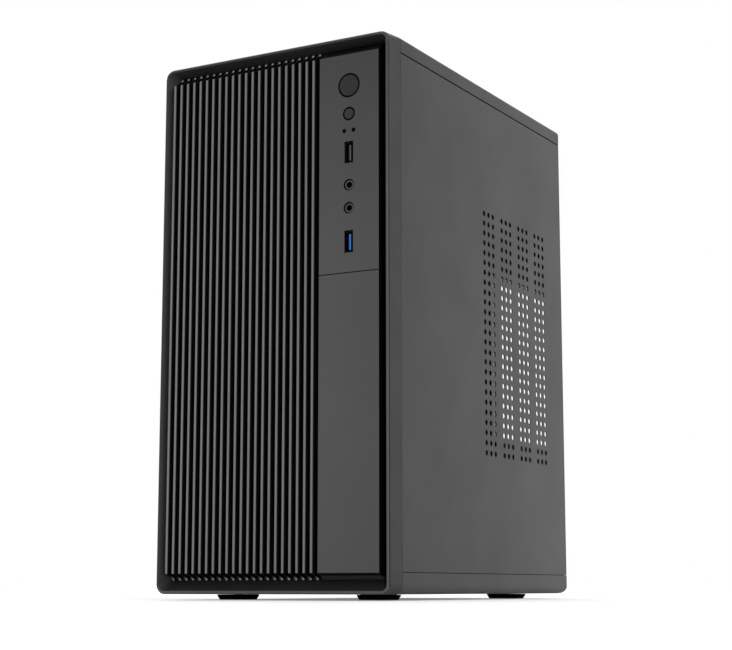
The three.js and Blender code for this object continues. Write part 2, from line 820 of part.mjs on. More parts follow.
const supplyZ = { z0: bodyHeight - supply.top - supply.tall, z1: bodyHeight - supply.top };
const slotHeights = Array.from({ length: slotCount }, (_, i) => slotFirst + i * slotPitch);
const slotZ = {
  z0: slotHeights[0] - slotCover.tall / 2 - fit,
  z1: slotHeights[slotCount - 1] + slotCover.tall / 2 + fit,
};

// A window that steps in at each corner, for a screw.
function tabbedWindow(x, z0, z1, tab) {
  return pairs([
    [tab - x, z0],
    [x - tab, z0],
    [x - tab, z0 + tab],
    [x, z0 + tab],
    [x, z1 - tab],
    [x - tab, z1 - tab],
    [x - tab, z1],
    [tab - x, z1],
    [tab - x, z1 - tab],
    [-x, z1 - tab],
    [-x, z0 + tab],
    [tab - x, z0 + tab],
  ]);
}

function rearPanel() {
  const x = weldFace - sheet - 0.2;
  const windows = [
    tabbedWindow(
      supply.wide / 2 - supply.rim,
      supplyZ.z0 + supply.rim,
      supplyZ.z1 - supply.rim,
      supply.screwTab,
    ),
    rectangle(
      portWindow.x - portWindow.wide / 2,
      portWindow.x + portWindow.wide / 2,
      portWindow.z - portWindow.tall / 2,
      portWindow.z + portWindow.tall / 2,
    ),
    ...slotHeights.map((z) =>
      rectangle(slotWindow.x0, slotWindow.x1, z - slotWindow.tall / 2, z + slotWindow.tall / 2),
    ),
    rectangle(slotCover.x0 - fit, slotCover.x0 + slotCover.slit, slotZ.z0, slotZ.z1),
  ];
  const screwHoles = thumbscrewHeights.flatMap((z) =>
    [-1, 1].map((side) => circle(side * thumbscrewX, z, thumbscrew.hole, 8)),
  );
  const grille = hexField(rearFan, rearFan.size / 2 - exhaust.rim, exhaust);
  const face = sweepY(
    rectangle(-x, x, baseRearFold + fit, bodyHeight - coverRearFold - fit),
    rearFace,
    rearFace + sheet,
    [...windows, ...screwHoles, ...grille],
  );
  const returnZ = [rearReturn.foot, coverBottom - rearReturn.head];
  const side = join(
    block([weldFace - sheet, weldFace], [rearFace - rearReturn.reach, rearFace + sheet], returnZ),
    block([x - 0.2, weldFace], [rearFace, rearFace + sheet], returnZ),
  );
  const shelf = block(
    [slotCover.x0 - fit - sheet, slotCover.x0 - fit],
    [rearFace, rearFace + slotCover.tab],
    [slotZ.z0, slotZ.z1],
  );
  const ledge = block(
    [supplyLedge.x0, supplyLedge.x1],
    [supplyLedge.front, rearFace + 0.1],
    [supplyZ.z0 - fit - sheet, supplyZ.z0 - fit],
  );
  return join(
    face,
    side,
    side.mirror([1, 0, 0]),
    shelf,
    ledge,
  );
}

// The tray steps in from its welded edges, and stands off the right side panel.
function motherboardTray() {
  const a = trayFace;
  const b = trayFace + sheet;
  const c = weldFace - sheet;
  const d = weldFace;
  const low = traySill.weld;
  const stepLow = baseSide + flangeDrop + 2;
  const high = bodyHeight - coverSide - (traySill.weld - baseSide);
  const stepHigh = coverBottom - flangeDrop - 2;
  const section = pairs([
    [c, low],
    [d, low],
    [d, stepLow],
    [b, stepLow],
    [b, stepHigh],
    [d, stepHigh],
    [d, high],
    [c, high],
    [c, stepHigh + sheet],
    [a, stepHigh + sheet],
    [a, stepLow - sheet],
    [c, stepLow - sheet],
  ]);
  const end = rearFace - fit;
  let body = sweepY(section, traySill.front, end);
  const corner = (z0, z1) =>
    block([b + 0.2, d + 1], [rearFace - rearReturn.reach - 2 * fit, end + 1], [z0, z1]);
  body = cut(body, corner(low - 1, stepLow), corner(stepHigh, high + 1));
  const { y0, y1, z0, z1, rim, edge } = cpuWindow;
  const frame = rounded(y0 - edge, y1 + 2, z0 - edge, z1 + edge, 4);
  const opening = rounded(y0, y1, z0, z1, 3);
  body = join(body, sweepX(frame, b - 0.2, b + rim));
  body = cut(body, sweepX(opening, a - 1, b + rim + 1));
  const hollow = rounded(y0 - edge + 1, y1 + 1, z0 - edge + 1, z1 + edge - 1, 3);
  body = cut(
    body,
    cut(
      sweepX(hollow, a - 1, b + rim - sheet),
      sweepX(rounded(y0 - sheet, y1 + sheet, z0 - sheet, z1 + sheet, 3), a, b + rim),
    ),
  );
  const rearTab = block([a - 4.3, a + 0.2], [end - sheet, end], [stepLow + 1, stepHigh - 1]);
  body = join(body, rearTab);
  const room = thumbscrew.head + 1.5; // round each thumbscrew's shank, for the tray's edge
  const notch = (z) => block([a - 6, d + 1], [258, end + 1], [z - room, z + room]);
  body = cut(body, ...thumbscrewHeights.map(notch));
  const { height, head, foot, rows, levels } = standoff;
  const stand = turned([[0, height], [head, height], [foot, 0], [0, 0]], 8);
  const inward = new THREE.Matrix4().makeRotationZ(Math.PI / 2);
  const bump = stand.transform(inward.elements);
  for (const y of rows) {
    for (const z of levels) body = join(body, bump.translate([a + 0.1, y, z]));
  }
  return body;
}

piece("chassis_base", chassisBase(), materials.coated);
piece("top_cover", topCover(), materials.coated);
piece("front_frame", frontFrame(), materials.inner);
piece("rear_panel", rearPanel(), materials.inner);
piece("motherboard_tray", motherboardTray(), materials.inner);

// ---------------------------------------------------------------- side panels

function ventField({ front, bottom, groups, rows }) {
  const holes = [];
  for (let group = 0; group < groups; group++) {
    for (let column = 0; column < ventGroupColumns; column++) {
      const y = front + (group * (ventGroupColumns + 1) + column) * ventColumnPitch;
      for (let row = 0; row < rows; row++) {
        holes.push(circle(y, bottom + row * ventRowPitch, ventRadius, ventSides));
      }
    }
  }
  return holes;
}

function sidePanel(vents) {
  const z0 = baseSide + fit;
  const z1 = coverBottom - fit;
  const skin = sweepX(
    rectangle(bezelBack, shellDepth, z0, z1),
    panelInner,
    half,
    ventField(vents),
  );
  const front = block(
    [half - panelReturn, half - 0.1],
    [bezelBack, bezelBack + sheet],
    [baseSide + flangeDrop + 2, coverBottom - flangeDrop - 2],
  );
  const holes = thumbscrewHeights.map((z) =>
    circle(thumbscrewX, z, thumbscrew.shank + fit, 8),
  );
  const rear = sweepY(
    rectangle(half - panelRearFold, half - 0.1, z0, z1),
    shellDepth - sheet,
    shellDepth,
    holes,
  );
  const toeFace = flangeInner - 0.5;
  const shape = pairs([
    [panelInner + 0.1, 0],
    [panelInner + 0.1, hook.stem],
    [toeFace - sheet, hook.stem],
    [toeFace - sheet, -hook.toe],
    [toeFace, -hook.toe],
    [toeFace, 0],
  ]);
  const hooks = [lowHook, highHook].flatMap((z) =>
    hookRows.map((y) => sweepZ(shape, z, z + hook.tall).translate([0, y, 0])),
  );
  return join(skin, front, rear, ...hooks);
}

piece("right_side_panel", sidePanel(rightVent), materials.coated);
piece("left_side_panel", handed(sidePanel(leftVent), -1), materials.coated);

const screwProfile = [
  [0, fit + thumbscrew.length],
  [thumbscrew.head - 0.6, fit + thumbscrew.length],
  [thumbscrew.head, fit + thumbscrew.length - 0.8],
  [thumbscrew.head, fit + 2],
  [thumbscrew.head - 1.2, fit],
  [thumbscrew.shank, fit],
  [thumbscrew.shank, -thumbscrew.reach],
  [0, -thumbscrew.reach],
];
for (const [side, hand] of hands) {
  thumbscrewHeights.forEach((height, i) => {
    const name = `${side}_${i ? "upper" : "lower"}_thumbscrew`;
    const at = [hand * thumbscrewX, shellDepth, height];
    piece(name, turned(screwProfile, 10), materials.plating, at);
  });
}

// ---------------------------------------------------------------- feet

const footProfile = [
  [0, feet.pegTall],
  [feet.peg, feet.pegTall],
  [feet.peg, -fit],
  [feet.top, -fit],
  [feet.top, -1],
  [feet.bottom, -footHeight],
  [0, -footHeight],
];
for (const [side, hand] of hands) {
  for (const end of ["front", "rear"]) {
    const at = [hand * feet.x, feet[end], 0];
    piece(`${side}_${end}_foot`, standing(turned(footProfile, 16)), materials.rubber, at);
  }
}

// ---------------------------------------------------------------- fans

// An axial fan along Z, its frame from z = 0 to its depth: a duct, struts and a motor cup.
const fanShape = { wall: 2, corner: 5, strut: 3, cup: 4 };
function fanFrame(size, depth) {
  const duct = size / 2 - fanShape.wall;
  const frame = sweepZ(
    rounded(-size / 2, size / 2, -size / 2, size / 2, fanShape.corner, 2),
    0,
    depth,
    [circle(0, 0, duct, 24)],
  );
  const hub = size * 0.2;
  const strut = block([hub - 2, duct + 1], [-fanShape.strut / 2, fanShape.strut / 2], [0, 2.5]);
  const struts = [0, 1, 2, 3].map((k) => strut.rotate([0, 0, 45 + 90 * k]));
  const motor = standing(turned([[0, fanShape.cup], [hub, fanShape.cup], [hub, 0], [0, 0]], 16));
  const bore = standing(turned([[0, 5], [1.5, 5], [1.5, 1], [0, 1]], 8));
  return cut(join(frame, motor, ...struts), bore);
}

// A fan's rotor: swept blades that turn about the hub as they rise, and a hub with its shaft.
const blades = { count: 7, wide: 2.6, twist: 44, sweep: 0.16, gap: 3.8 };
function fanRotor(size, depth) {
  const hub = size * 0.2;
  const tip = size / 2 - blades.gap;
  const top = depth - 1.5;
  const at = (radius, angle) => [radius * Math.cos(angle), radius * Math.sin(angle)];
  const outline = [];
  for (let k = 0; k < blades.count; k++) {
    const middle = (2 * Math.PI * k) / blades.count;
    const half = (radius) => blades.wide / 2 / radius;
    const between = Math.PI / blades.count;
    outline.push(at(hub, middle - between), at(hub, middle - between / 2));
    const stations = [[hub, 0], [(hub + tip) / 2, blades.sweep], [tip, blades.sweep * 2.4]];
    for (const [r, swept] of stations) outline.push(at(r, middle + swept - half(r)));
    for (const [r, swept] of stations.reverse()) outline.push(at(r, middle + swept + half(r)));
    outline.push(at(hub, middle + between / 2));
  }
  const bladeRing = twisted(pairs(outline), depth * 0.22, depth * 0.78, blades.twist, 3);
  const core = hub - 0.7;
  const hubBody = standing(
    turned(
      [[0, top], [core - 1, top], [core, top - 1], [core, 4.6], [1.2, 4.6], [1.2, 1.6], [0, 1.6]],
      16,
    ),
  );
  return join(bladeRing, hubBody);
}

const facingFront = (body) => body.rotate([90, 0, 0]);

const rearFanAt = [rearFan.x, rearFace - fit, rearFan.z];
const rearFrame = facingFront(fanFrame(rearFan.size, rearFan.depth));
piece("rear_fan_frame", rearFrame, materials.fan, rearFanAt);
const rearRotor = facingFront(fanRotor(rearFan.size, rearFan.depth));
piece("rear_fan_rotor", rearRotor, materials.fan, rearFanAt);

// ---------------------------------------------------------------- power supply

const supplyY = { y0: rearFace - fit - supply.deep, y1: rearFace - fit };
const supplyMid = (supplyY.y0 + supplyY.y1) / 2;
const inlet = { x: 44, z: 42, wide: 27, tall: 20, deep: 18 };
const rocker = { x: 16, z: 42, wide: 14, tall: 20, deep: 12 };

function supplyCase() {
  const { y0, y1 } = supplyY;
  const { z0, z1 } = supplyZ;
  const t = sheet;
  const x = supply.wide / 2 - sheet - fit;
  const top = z1 - sheet - fit;
  const section = pairs([
    [y0, z0],
    [y1, z0],
    [y1, top],
    [y1 - t, top],
    [y1 - t, z0 + t],
    [y0 + t, z0 + t],
    [y0 + t, top],
    [y0, top],
  ]);
  const fanHole = sweepZ(circle(0, supplyMid, supplyFan.size / 2 - 4, 28), z0 - 1, z0 + 2);
  const panelHole = ({ x: cx, z, wide, tall }) =>
    block(
      [cx - wide / 2 - fit, cx + wide / 2 + fit],
      [y1 - 3, y1 + 1],
      [z0 + z - tall / 2 - fit, z0 + z + tall / 2 + fit],
    );
  const leads = sweepY(circle(leadHole.x, z0 + leadHole.z, leadHole.radius, 14), y0 - 1, y0 + 2);
  const outlet = { x: supplyOutlet.x, z: z0 + supplyOutlet.z };
  const vents = hexField(outlet, supplyOutlet.reach, supplyOutlet).map((points) =>
    sweepY(points, y1 - 3, y1 + 1),
  );
  return cut(
    sweepX(section, -x, x),
    fanHole,
    panelHole(inlet),
    panelHole(rocker),
    leads,
    ...vents,
  );
}

function supplyCover() {
  const x = supply.wide / 2;
  const { z0, z1 } = supplyZ;
  const section = pairs([
    [-x, z0],
    [sheet - x, z0],
    [sheet - x, z1 - sheet],
    [x - sheet, z1 - sheet],
    [x - sheet, z0],
    [x, z0],
    [x, z1],
    [-x, z1],
  ]);
  return sweepY(section, supplyY.y0, supplyY.y1);
}

// The mains inlet: a flanged socket with three flat pins.
function mainsInlet() {
  const { wide, tall, deep } = inlet;
  const hull = join(
    block([-wide / 2 - 2.5, wide / 2 + 2.5], [fit, 2], [-tall / 2 - 2, tall / 2 + 2]),
    block([-wide / 2, wide / 2], [1 - deep, 1], [-tall / 2, tall / 2]),
  );
  const mouth = rounded(-11.5, 11.5, -7.5, 7.5, [4, 4, 0, 0], 1);
  const pin = (x, z) => block([x - 1, x + 1], [-14, -3], [z - 2, z + 2]);
  return join(cut(hull, sweepY(mouth, -13, 3)), pin(-6.5, -1.5), pin(6.5, -1.5), pin(0, 2.5));
}

function rockerFrame() {
  const { wide, tall, deep } = rocker;
  const hull = join(
    block([-wide / 2 - 1.5, wide / 2 + 1.5], [fit, 2], [-tall / 2 - 1.5, tall / 2 + 1.5]),
    block([-wide / 2, wide / 2], [1 - deep, 1], [-tall / 2, tall / 2]),
  );
  return cut(hull, block([1.5 - wide / 2, wide / 2 - 1.5], [-9, 3], [1.5 - tall / 2, tall / 2 - 1.5]));
}

// The rocker is drawn round its pivot and rests tipped to the off side.
const rockerTilt = 9;
function rockerCap() {
  const wide = rocker.wide / 2 - 1.5 - fit;
  const reach = rocker.tall / 2 - 1.5 - 0.9;
  const section = pairs([[-3.5, -reach + 2], [2.6, -reach], [1.6, 0], [2.6, reach], [-3.5, reach - 2]]);
  return sweepX(section, -wide, wide).rotate([rockerTilt, 0, 0]);
}

piece("supply_case", supplyCase(), materials.supply);
piece("supply_cover", supplyCover(), materials.supply);
const inletAt = [inlet.x, supplyY.y1, supplyZ.z0 + inlet.z];
piece("mains_inlet", mainsInlet(), materials.socket, inletAt);
const rockerAt = [rocker.x, supplyY.y1, supplyZ.z0 + rocker.z];
piece("supply_switch_frame", rockerFrame(), materials.socket, rockerAt);
piece("supply_rocker", rockerCap(), materials.button, rockerAt);

const supplyFanAt = [0, supplyMid, supplyZ.z0 + sheet + fit + supplyFan.depth];
const down = (body) => body.rotate([180, 0, 0]);
const supplyFrame = down(fanFrame(supplyFan.size, supplyFan.depth));
piece("supply_fan_frame", supplyFrame, materials.fan, supplyFanAt);
const supplyRotor = down(fanRotor(supplyFan.size, supplyFan.depth));
piece("supply_fan_rotor", supplyRotor, materials.fan, supplyFanAt);

// The finger guard: two wire rings on two crossed wires.
const guard = { wire: 1.6, rings: [22, 46], reach: 56 };
function fanGuard() {
  const { wire, rings, reach } = guard;
  const ring = (radius) =>
    standing(
      turned(
        [[radius, wire], [radius + wire, wire], [radius + wire, 0], [radius, 0], [radius, wire]],
        16,
      ),
    );
  const spoke = block([-reach, reach], [-wire / 2, wire / 2], [wire / 2, wire * 1.5]);
  return join(...rings.map(ring), spoke.rotate([0, 0, 45]), spoke.rotate([0, 0, -45]));
}
const guardAt = [0, supplyMid, supplyZ.z0 - fit - guard.wire * 1.5];
piece("supply_fan_guard", fanGuard(), materials.plating, guardAt);

function supplyShelf() {
  const edge = trayFace - fit;
  const z1 = supplyZ.z0 - fit;
  const y = [supplyY.y0 + supplyShelfSize.front, supplyY.y1 - supplyShelfSize.rear];
  return join(
    block([supplyShelfSize.x0, edge], y, [z1 - sheet, z1]),
    block([edge - sheet, edge], y, [z1 - supplyShelfSize.drop, z1]),
  );
}
piece("supply_shelf", supplyShelf(), materials.inner);

// ---------------------------------------------------------------- expansion slots and drives

function coverPlate() {
  const { x0, x1, tall, tab } = slotCover;
  const y1 = rearFace - fit;
  return join(
    block([x0, x1], [y1 - sheet, y1], [-tall / 2, tall / 2]),
    block([x0, x0 + sheet], [y1 - sheet, rearFace + tab], [-tall / 2, tall / 2]),
    block(
      [slotWindow.x0 + slotCover.beadInset, slotWindow.x1 - slotCover.beadInset],
      [y1 - 2 * sheet - 0.8, y1 - 0.6],
      [-slotCover.bead / 2, slotCover.bead / 2],
    ),
  );
}
slotHeights.forEach((height, i) => {
  piece(`slot_cover_${i + 1}`, coverPlate(), materials.plating, [0, 0, height]);
});

// The drive cage is a bent sheet: two walls, a lid and feet turned out on the base.
function driveCage() {
  const t = sheet;
  const low = sheetZ.low;
  const { x0, x1, y0, y1, top, foot } = cage;
  const section = pairs([
    [x0, low],
    [x0 + foot, low],
    [x0 + foot, low + t],
    [x0 + t, low + t],
    [x0 + t, top - t],
    [x1 - t, top - t],
    [x1 - t, low],
    [x1 + foot, low],
    [x1 + foot, low + t],
    [x1, low + t],
    [x1, top],
    [x0, top],
  ]);
  const { levels, rows, reachY, reachZ } = cageWindows;
  const windows = levels.flatMap((z) =>
    rows.map((y) => {
      const outline = rounded(y - reachY, y + reachY, z - reachZ, z + reachZ, 4, 1);
      return sweepX(outline, x0 - 10, x1 + 16);
    }),
  );
  const lid = rounded(cageLid.x0, cageLid.x1, cageLid.y0, cageLid.y1, 6, 2);
  return cut(sweepY(section, y0, y1), ...windows, sweepZ(lid, top - 2, top + 1));
}
piece("drive_cage", driveCage(), materials.inner);

// The slim-drive bracket: a hat section across the front frame.
function slimBracket() {
  const y = frameFace + sheet + fit;
  const t = sheet;
  const { x0, x1, z0, z1, flange, rise } = slim;
  const section = pairs([
    [y, z0],
    [y + t, z0],
    [y + t, z0 + flange],
    [y + rise + t, z0 + flange],
    [y + rise + t, z1 - flange],
    [y + t, z1 - flange],
    [y + t, z1],
    [y, z1],
    [y, z1 - flange - t],
    [y + rise, z1 - flange - t],
    [y + rise, z0 + flange + t],
    [y, z0 + flange + t],
  ]);
  const window = rounded(slimWindow.x0, slimWindow.x1, slimWindow.z0, slimWindow.z1, 6, 2);
  return cut(sweepX(section, x0, x1), sweepY(window, y, y + rise + 4));
}
piece("slim_drive_bracket", slimBracket(), materials.inner);

export default tower;
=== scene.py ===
# %% [markdown]
# # A desktop computer tower
# The object is a micro-ATX mini tower: a folded steel box with a ribbed plastic front and a
# narrow strip of controls and sockets down its right-hand side. The engineering model gives
# every solid in its true place, in metres. This lesson dresses those solids with finishes,
# and rebuilds the few that need finer detail than the engineering model carries.

# %% Load the engineering model
import json
import math

import bmesh
import bpy
from mathutils import Matrix, Vector


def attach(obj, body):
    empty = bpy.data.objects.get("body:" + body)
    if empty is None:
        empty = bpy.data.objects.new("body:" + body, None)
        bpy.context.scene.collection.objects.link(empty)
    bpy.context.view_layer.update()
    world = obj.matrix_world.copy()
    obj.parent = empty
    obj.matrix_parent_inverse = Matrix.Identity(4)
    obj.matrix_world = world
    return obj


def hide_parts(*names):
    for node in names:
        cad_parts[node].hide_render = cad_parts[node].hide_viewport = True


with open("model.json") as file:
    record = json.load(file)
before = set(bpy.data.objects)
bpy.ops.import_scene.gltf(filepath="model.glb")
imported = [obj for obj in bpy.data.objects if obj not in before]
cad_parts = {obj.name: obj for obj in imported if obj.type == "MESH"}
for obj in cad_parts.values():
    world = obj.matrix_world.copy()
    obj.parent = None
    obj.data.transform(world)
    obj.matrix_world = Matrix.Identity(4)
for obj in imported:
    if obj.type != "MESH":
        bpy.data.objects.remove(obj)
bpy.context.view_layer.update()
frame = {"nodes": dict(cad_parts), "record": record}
nodes = frame["nodes"]

# %% [markdown]
# ## Measures
# The engineering model counts depth from the front face and height from the underside of the
# shell, in millimetres. In the scene it is centred on its footprint and stands on its feet.
# Two small helpers turn drawing positions into places in the scene, so that every number
# further on is a size that could be read off the drawing.

# %% Drawing positions
MM = 0.001
FRONT_TO_CENTRE = 139.65
FOOT_HEIGHT = 3.5


def place(x, y, z):
    """A drawing position, in mm, as a place in the scene, in metres."""
    return Vector((x, y - FRONT_TO_CENTRE, z + FOOT_HEIGHT)) * MM


def scene_at(axis, at):
    """One drawing coordinate as the scene's coordinate on that axis."""
    return place(at, at, at)["XYZ".index(axis)]


print("front face is at y =", round(scene_at("Y", 0), 5))

# %% [markdown]
# ## The viewpoint
# The camera stands low, close to the floor, to the right of the tower and looking slightly
# up at it, with a long lens. It is made first, so that every later step can be judged
# through it.

# %% Camera
TILT_UP = 9.16
TURN_LEFT = 29.7

camera_data = bpy.data.cameras.new("viewpoint")
camera_data.lens = 80.07
camera_data.sensor_width = 36
camera_data.clip_start = 0.01
camera_data.clip_end = 60
camera = bpy.data.objects.new("viewpoint", camera_data)
camera.location = (0.5590, -0.99685, 0.0077)
camera.rotation_euler = (math.radians(90 + TILT_UP), 0, math.radians(TURN_LEFT))
bpy.context.scene.collection.objects.link(camera)
bpy.context.scene.camera = camera
print("camera", [round(v, 3) for v in camera.location])

# %% [markdown]
# ## A net of nodes
# A material is a net of nodes that ends in one shader. Writing each node and link out in full
# takes many lines, so a class holds the material and adds a node in one call. Numbers that
# are the same all over the surface are set on the shader's own sockets, and only what
# changes from place to place is linked.


# %% Adding and joining nodes
class Net:
    """A new material, and short ways to add nodes to it."""

    def __init__(self, name, colour, roughness, metallic=0.0, specular=0.5):
        self.material = bpy.data.materials.new(name)
        self.material.use_nodes = True
        self.material.diffuse_color = (*colour, 1)
        self.tree = self.material.node_tree
        self.shader = self.tree.nodes["Principled BSDF"]
        self.shader.inputs["Base Color"].default_value = (*colour, 1)
        self.shader.inputs["Roughness"].default_value = roughness
        self.shader.inputs["Metallic"].default_value = metallic
        self.shader.inputs["Specular IOR Level"].default_value = specular
        self.where = self.add("ShaderNodeTexCoord").outputs["Object"]

    def add(self, kind, sockets=None, **settings):
        """A new node. Each socket takes a value, or the output of another node."""
        node = self.tree.nodes.new(kind)
        for key, value in settings.items():
            setattr(node, key, value)
        for key, value in (sockets or {}).items():
            if isinstance(value, bpy.types.NodeSocket):
                self.tree.links.new(value, node.inputs[key])
            else:
                node.inputs[key].default_value = value
        return node

    def drive(self, socket, value):
        """Lets a node's output set one of the shader's sockets."""
        self.tree.links.new(value, self.shader.inputs[socket])

    def math(self, operation, first, second=0.0):
        node = self.add("ShaderNodeMath", {0: first, 1: second}, operation=operation)
        return node.outputs[0]

    def both(self, first, second):
        """The part that two masks share."""
        return self.math("MULTIPLY", first, second)

    def either(self, first, second):
        """Two masks laid together."""
        return self.math("MAXIMUM", first, second)

    def spread(self, value, low, high, start=0.3, stop=0.7):
        """Runs from low to high while a value runs from start to stop."""
        sockets = {"From Min": start, "From Max": stop, "To Min": low, "To Max": high}
        return self.add("ShaderNodeMapRange", {"Value": value, **sockets}).outputs["Result"]

    def ramp(self, value, stops):
        """A colour for each value from 0 to 1, from stops of (value, colour)."""
        node = self.add("ShaderNodeValToRGB", {"Fac": value})
        elements = node.color_ramp.elements
        while len(elements) < len(stops):
            elements.new(0.5)
        for element, (position, colour) in zip(elements, stops):
            element.position = position
            element.color = (*colour, 1)
        return node.outputs["Color"]

    def mixed(self, mask, first, second, kind="MIX"):
        """The first colour where the mask is 0 and the second where it is 1."""
        sockets = {0: mask, 6: first, 7: second}
        node = self.add("ShaderNodeMix", sockets, data_type="RGBA", blend_type=kind)
        return node.outputs[2]


print("a net starts with a shader and the place on the object")

# %% [markdown]
# ## Clouds, gloss and grain
# No moulded or coated surface is one flat colour. A slow, cloudy noise shifts the colour and
# the gloss a little, as handling and moulding do, and a fine noise raises the surface, as
# the spark-etched mould or the powder coat does. Bump is enough for the grain, because it is
# far too fine to show in the outline.


# %% Surface noises
class Surface(Net):
    """A net with the noises that every real surface has."""

    def noise(self, scale, detail, stretch=(1, 1, 1)):
        where = self.where
        if stretch != (1, 1, 1):
            mapping = {"Scale": stretch, "Vector": where}
            where = self.add("ShaderNodeMapping", mapping).outputs["Vector"]
        sockets = {"Scale": scale, "Detail": detail, "Vector": where}
        return self.add("ShaderNodeTexNoise", sockets).outputs["Fac"]

    def cloudy(self, colour, change=0.05, scale=9):
        """Slow light and dark round one colour."""
        light = tuple(min(1, c * (1 + change)) for c in colour)
        dark = tuple(c * (1 - change) for c in colour)
        return self.ramp(self.noise(scale, 4), [(0.3, dark), (0.7, light)])

    def paint(self, colour):
        self.drive("Base Color", colour)

    def gloss(self, low, high, scale=30):
        self.drive("Roughness", self.spread(self.noise(scale, 4), low, high))

    def grain(self, scale, depth, stretch=(1, 1, 1)):
        height = self.noise(scale, 3, stretch)
        sockets = {"Strength": 1.0, "Distance": depth, "Height": height}
        self.drive("Normal", self.add("ShaderNodeBump", sockets).outputs["Normal"])


print("three noises: colour, gloss and grain")

# %% [markdown]
# ## Painting by place
# Some parts of one moulding carry painted light or shade: the bottom of a groove, the rim
# round a button, the crest of a rib. They could be separate faces with their own materials,
# but the joins would then be hard lines. Here masks are made from the place on the object, in
# drawing millimetres, and each fades over a fraction of a millimetre. The object's own
# coordinates move with it, so the paint stays in place from every side.


# %% Masks and shading
class Finish(Surface):
    """A surface that can be painted by the place on the object."""

    def along(self, axis):
        """The place on the object along one axis, in metres."""
        split = self.add("ShaderNodeSeparateXYZ", {0: self.where})
        return split.outputs["XYZ".index(axis)]

    def fade(self, axis, start, stop, first=0.0, last=1.0):
        """Runs from first to last between two drawing positions on an axis."""
        ends = scene_at(axis, start), scene_at(axis, stop)
        return self.spread(self.along(axis), first, last, *ends)

    def within(self, axis, low, high, blur=0.05):
        """A mask that is 1 between two drawing positions."""
        above = self.fade(axis, low - blur, low)
        return self.both(above, self.fade(axis, high, high + blur, 1, 0))

    def shaded(self, colour, axis, stops):
        """Dims a colour along an axis, by stops of (drawing position, share)."""
        start, end = stops[0][0], stops[-1][0]
        shares = [((at - start) / (end - start), (share,) * 3) for at, share in stops]
        dimmed = self.ramp(self.fade(axis, start, end), shares)
        return self.mixed(1.0, colour, dimmed, "MULTIPLY")


def grey(value, tint=(1.0, 1.0, 1.0)):
    """A grey as written on a 0-255 scale, as the linear colour that a shader takes."""
    share = value / 255
    linear = share / 12.92 if share <= 0.04045 else ((share + 0.055) / 1.055) ** 2.4
    return tuple(linear * t for t in tint)


print("grey 84 is", round(grey(84)[0], 4), "in linear light")

# %% [markdown]
# ## Plain plastics and bare metals
# Most small parts are moulded plastic with a fine etched grain, or plated steel. The metals
# have their grain drawn out along the sheet, as rolling leaves it, and the galvanised steel
# of the power supply shows a fainter change of tone than the bright parts do.


# %% Plastic and metal
# The scale of the grain and its depth in metres
MOULD_GRAIN = (2600, 0.00003)
FINE_GRAIN = (2600, 0.00002)


def plastic(name, value, roughness, specular=0.35, tint=(1, 1, 1), grain=MOULD_GRAIN):
    made = Finish(name, grey(value, tint), roughness, specular=specular)
    made.paint(made.cloudy(grey(value, tint), 0.07))
    made.gloss(roughness - 0.05, roughness + 0.06)
    made.grain(*grain)
    return made.material


def bare_metal(name, value, roughness, tint=(1, 1, 1), change=0.10):
    made = Finish(name, grey(value, tint), roughness, metallic=1.0)
    made.paint(made.cloudy(grey(value, tint), change, 60))
    made.gloss(roughness - 0.08, roughness + 0.10, 45)
    made.grain(220, 0.00002, stretch=(1, 1, 14))
    return made.material


bright_plating = bare_metal("bright_plating", 196, 0.28, tint=(1.0, 0.99, 0.97))
galvanised = bare_metal("galvanised_steel", 168, 0.42, tint=(0.98, 1.0, 1.02), change=0.05)
gold_contact = bare_metal("gold_contact", 190, 0.25, tint=(1.0, 0.78, 0.36))
# The socket shells are plated, and are painted near black here as shade inside the fascia
socket_shell = bare_metal("socket_shell", 24, 0.38)
blackened = bare_metal("blackened_screw", 62, 0.34)
print("five metals")

# %% [markdown]
# ## Powder-coated steel
# The cover, the base and the side panels are steel under a dark grey powder coat, which has a
# soft, even texture. The long sides grow lighter from the front to the rear and darker towards
# the top, as they do beside a window. Lamps alone would need to stand very close for that, so
# a little of it is painted in. What lies behind a seam or inside a panel is painted nearly
# black as shade, since no light reaches it.

# %% Powder coat
FRONT_TO_REAR = [(16.25, 0.63), (139.65, 0.795), (270.05, 1.0)]
UPWARDS = [(-3.5, 1.0), (176.5, 0.965), (346.5, 0.875)]
# A panel's sheet turns away from the light over its rear fold
PANEL_SHADES = [*FRONT_TO_REAR[:2], (268.85, 1.0), (269.35, 0.72), (270.15, 0.72)]
COAT_GREY, HIDDEN_SHADE_GREY = 81, 8
SEAMS_Z = (13.05, 339.95)
INSIDE_X = (85.95, 86.05)
AHEAD_OF_FOLD = (0, 262)


def powder_coat(name, value, roughness, stops=None, hidden=None):
    """Stops paint shade on it from front to rear and up its height, and hidden makes the mask
    of its part that is painted nearly black as shade.
    """
    made = Finish(name, grey(value), roughness, specular=0.2)
    colour = made.cloudy(grey(value), 0.03, 7)
    if stops:
        colour = made.shaded(made.shaded(colour, "Y", stops), "Z", UPWARDS)
    if hidden:
        colour = made.mixed(hidden(made), colour, made.cloudy(grey(HIDDEN_SHADE_GREY), 0.05, 7))
    made.paint(colour)
    made.gloss(roughness - 0.06, roughness + 0.06, 22)
    made.grain(1500, 0.00004)
    return made.material


def behind_seams(made):
    """The folded-in flanges behind the side panels, which are painted nearly black as shade.
    """
    return made.within("Z", *SEAMS_Z)


def behind_face(made):
    """The inside of a side panel and of its vents, as far as its rear fold, which is painted
    nearly black as shade.
    """
    sideways = made.math("ABSOLUTE", made.along("X"))
    inner = made.spread(sideways, 1, 0, *[x * MM for x in INSIDE_X])
    return made.both(inner, made.within("Y", *AHEAD_OF_FOLD))


shell_coat = powder_coat("shell_powder_coat", COAT_GREY, 0.55, FRONT_TO_REAR, behind_seams)
panel_coat = powder_coat("panel_powder_coat", COAT_GREY, 0.55, PANEL_SHADES, behind_face)
black_paint = powder_coat("black_paint", 20, 0.5)
print("three coats")
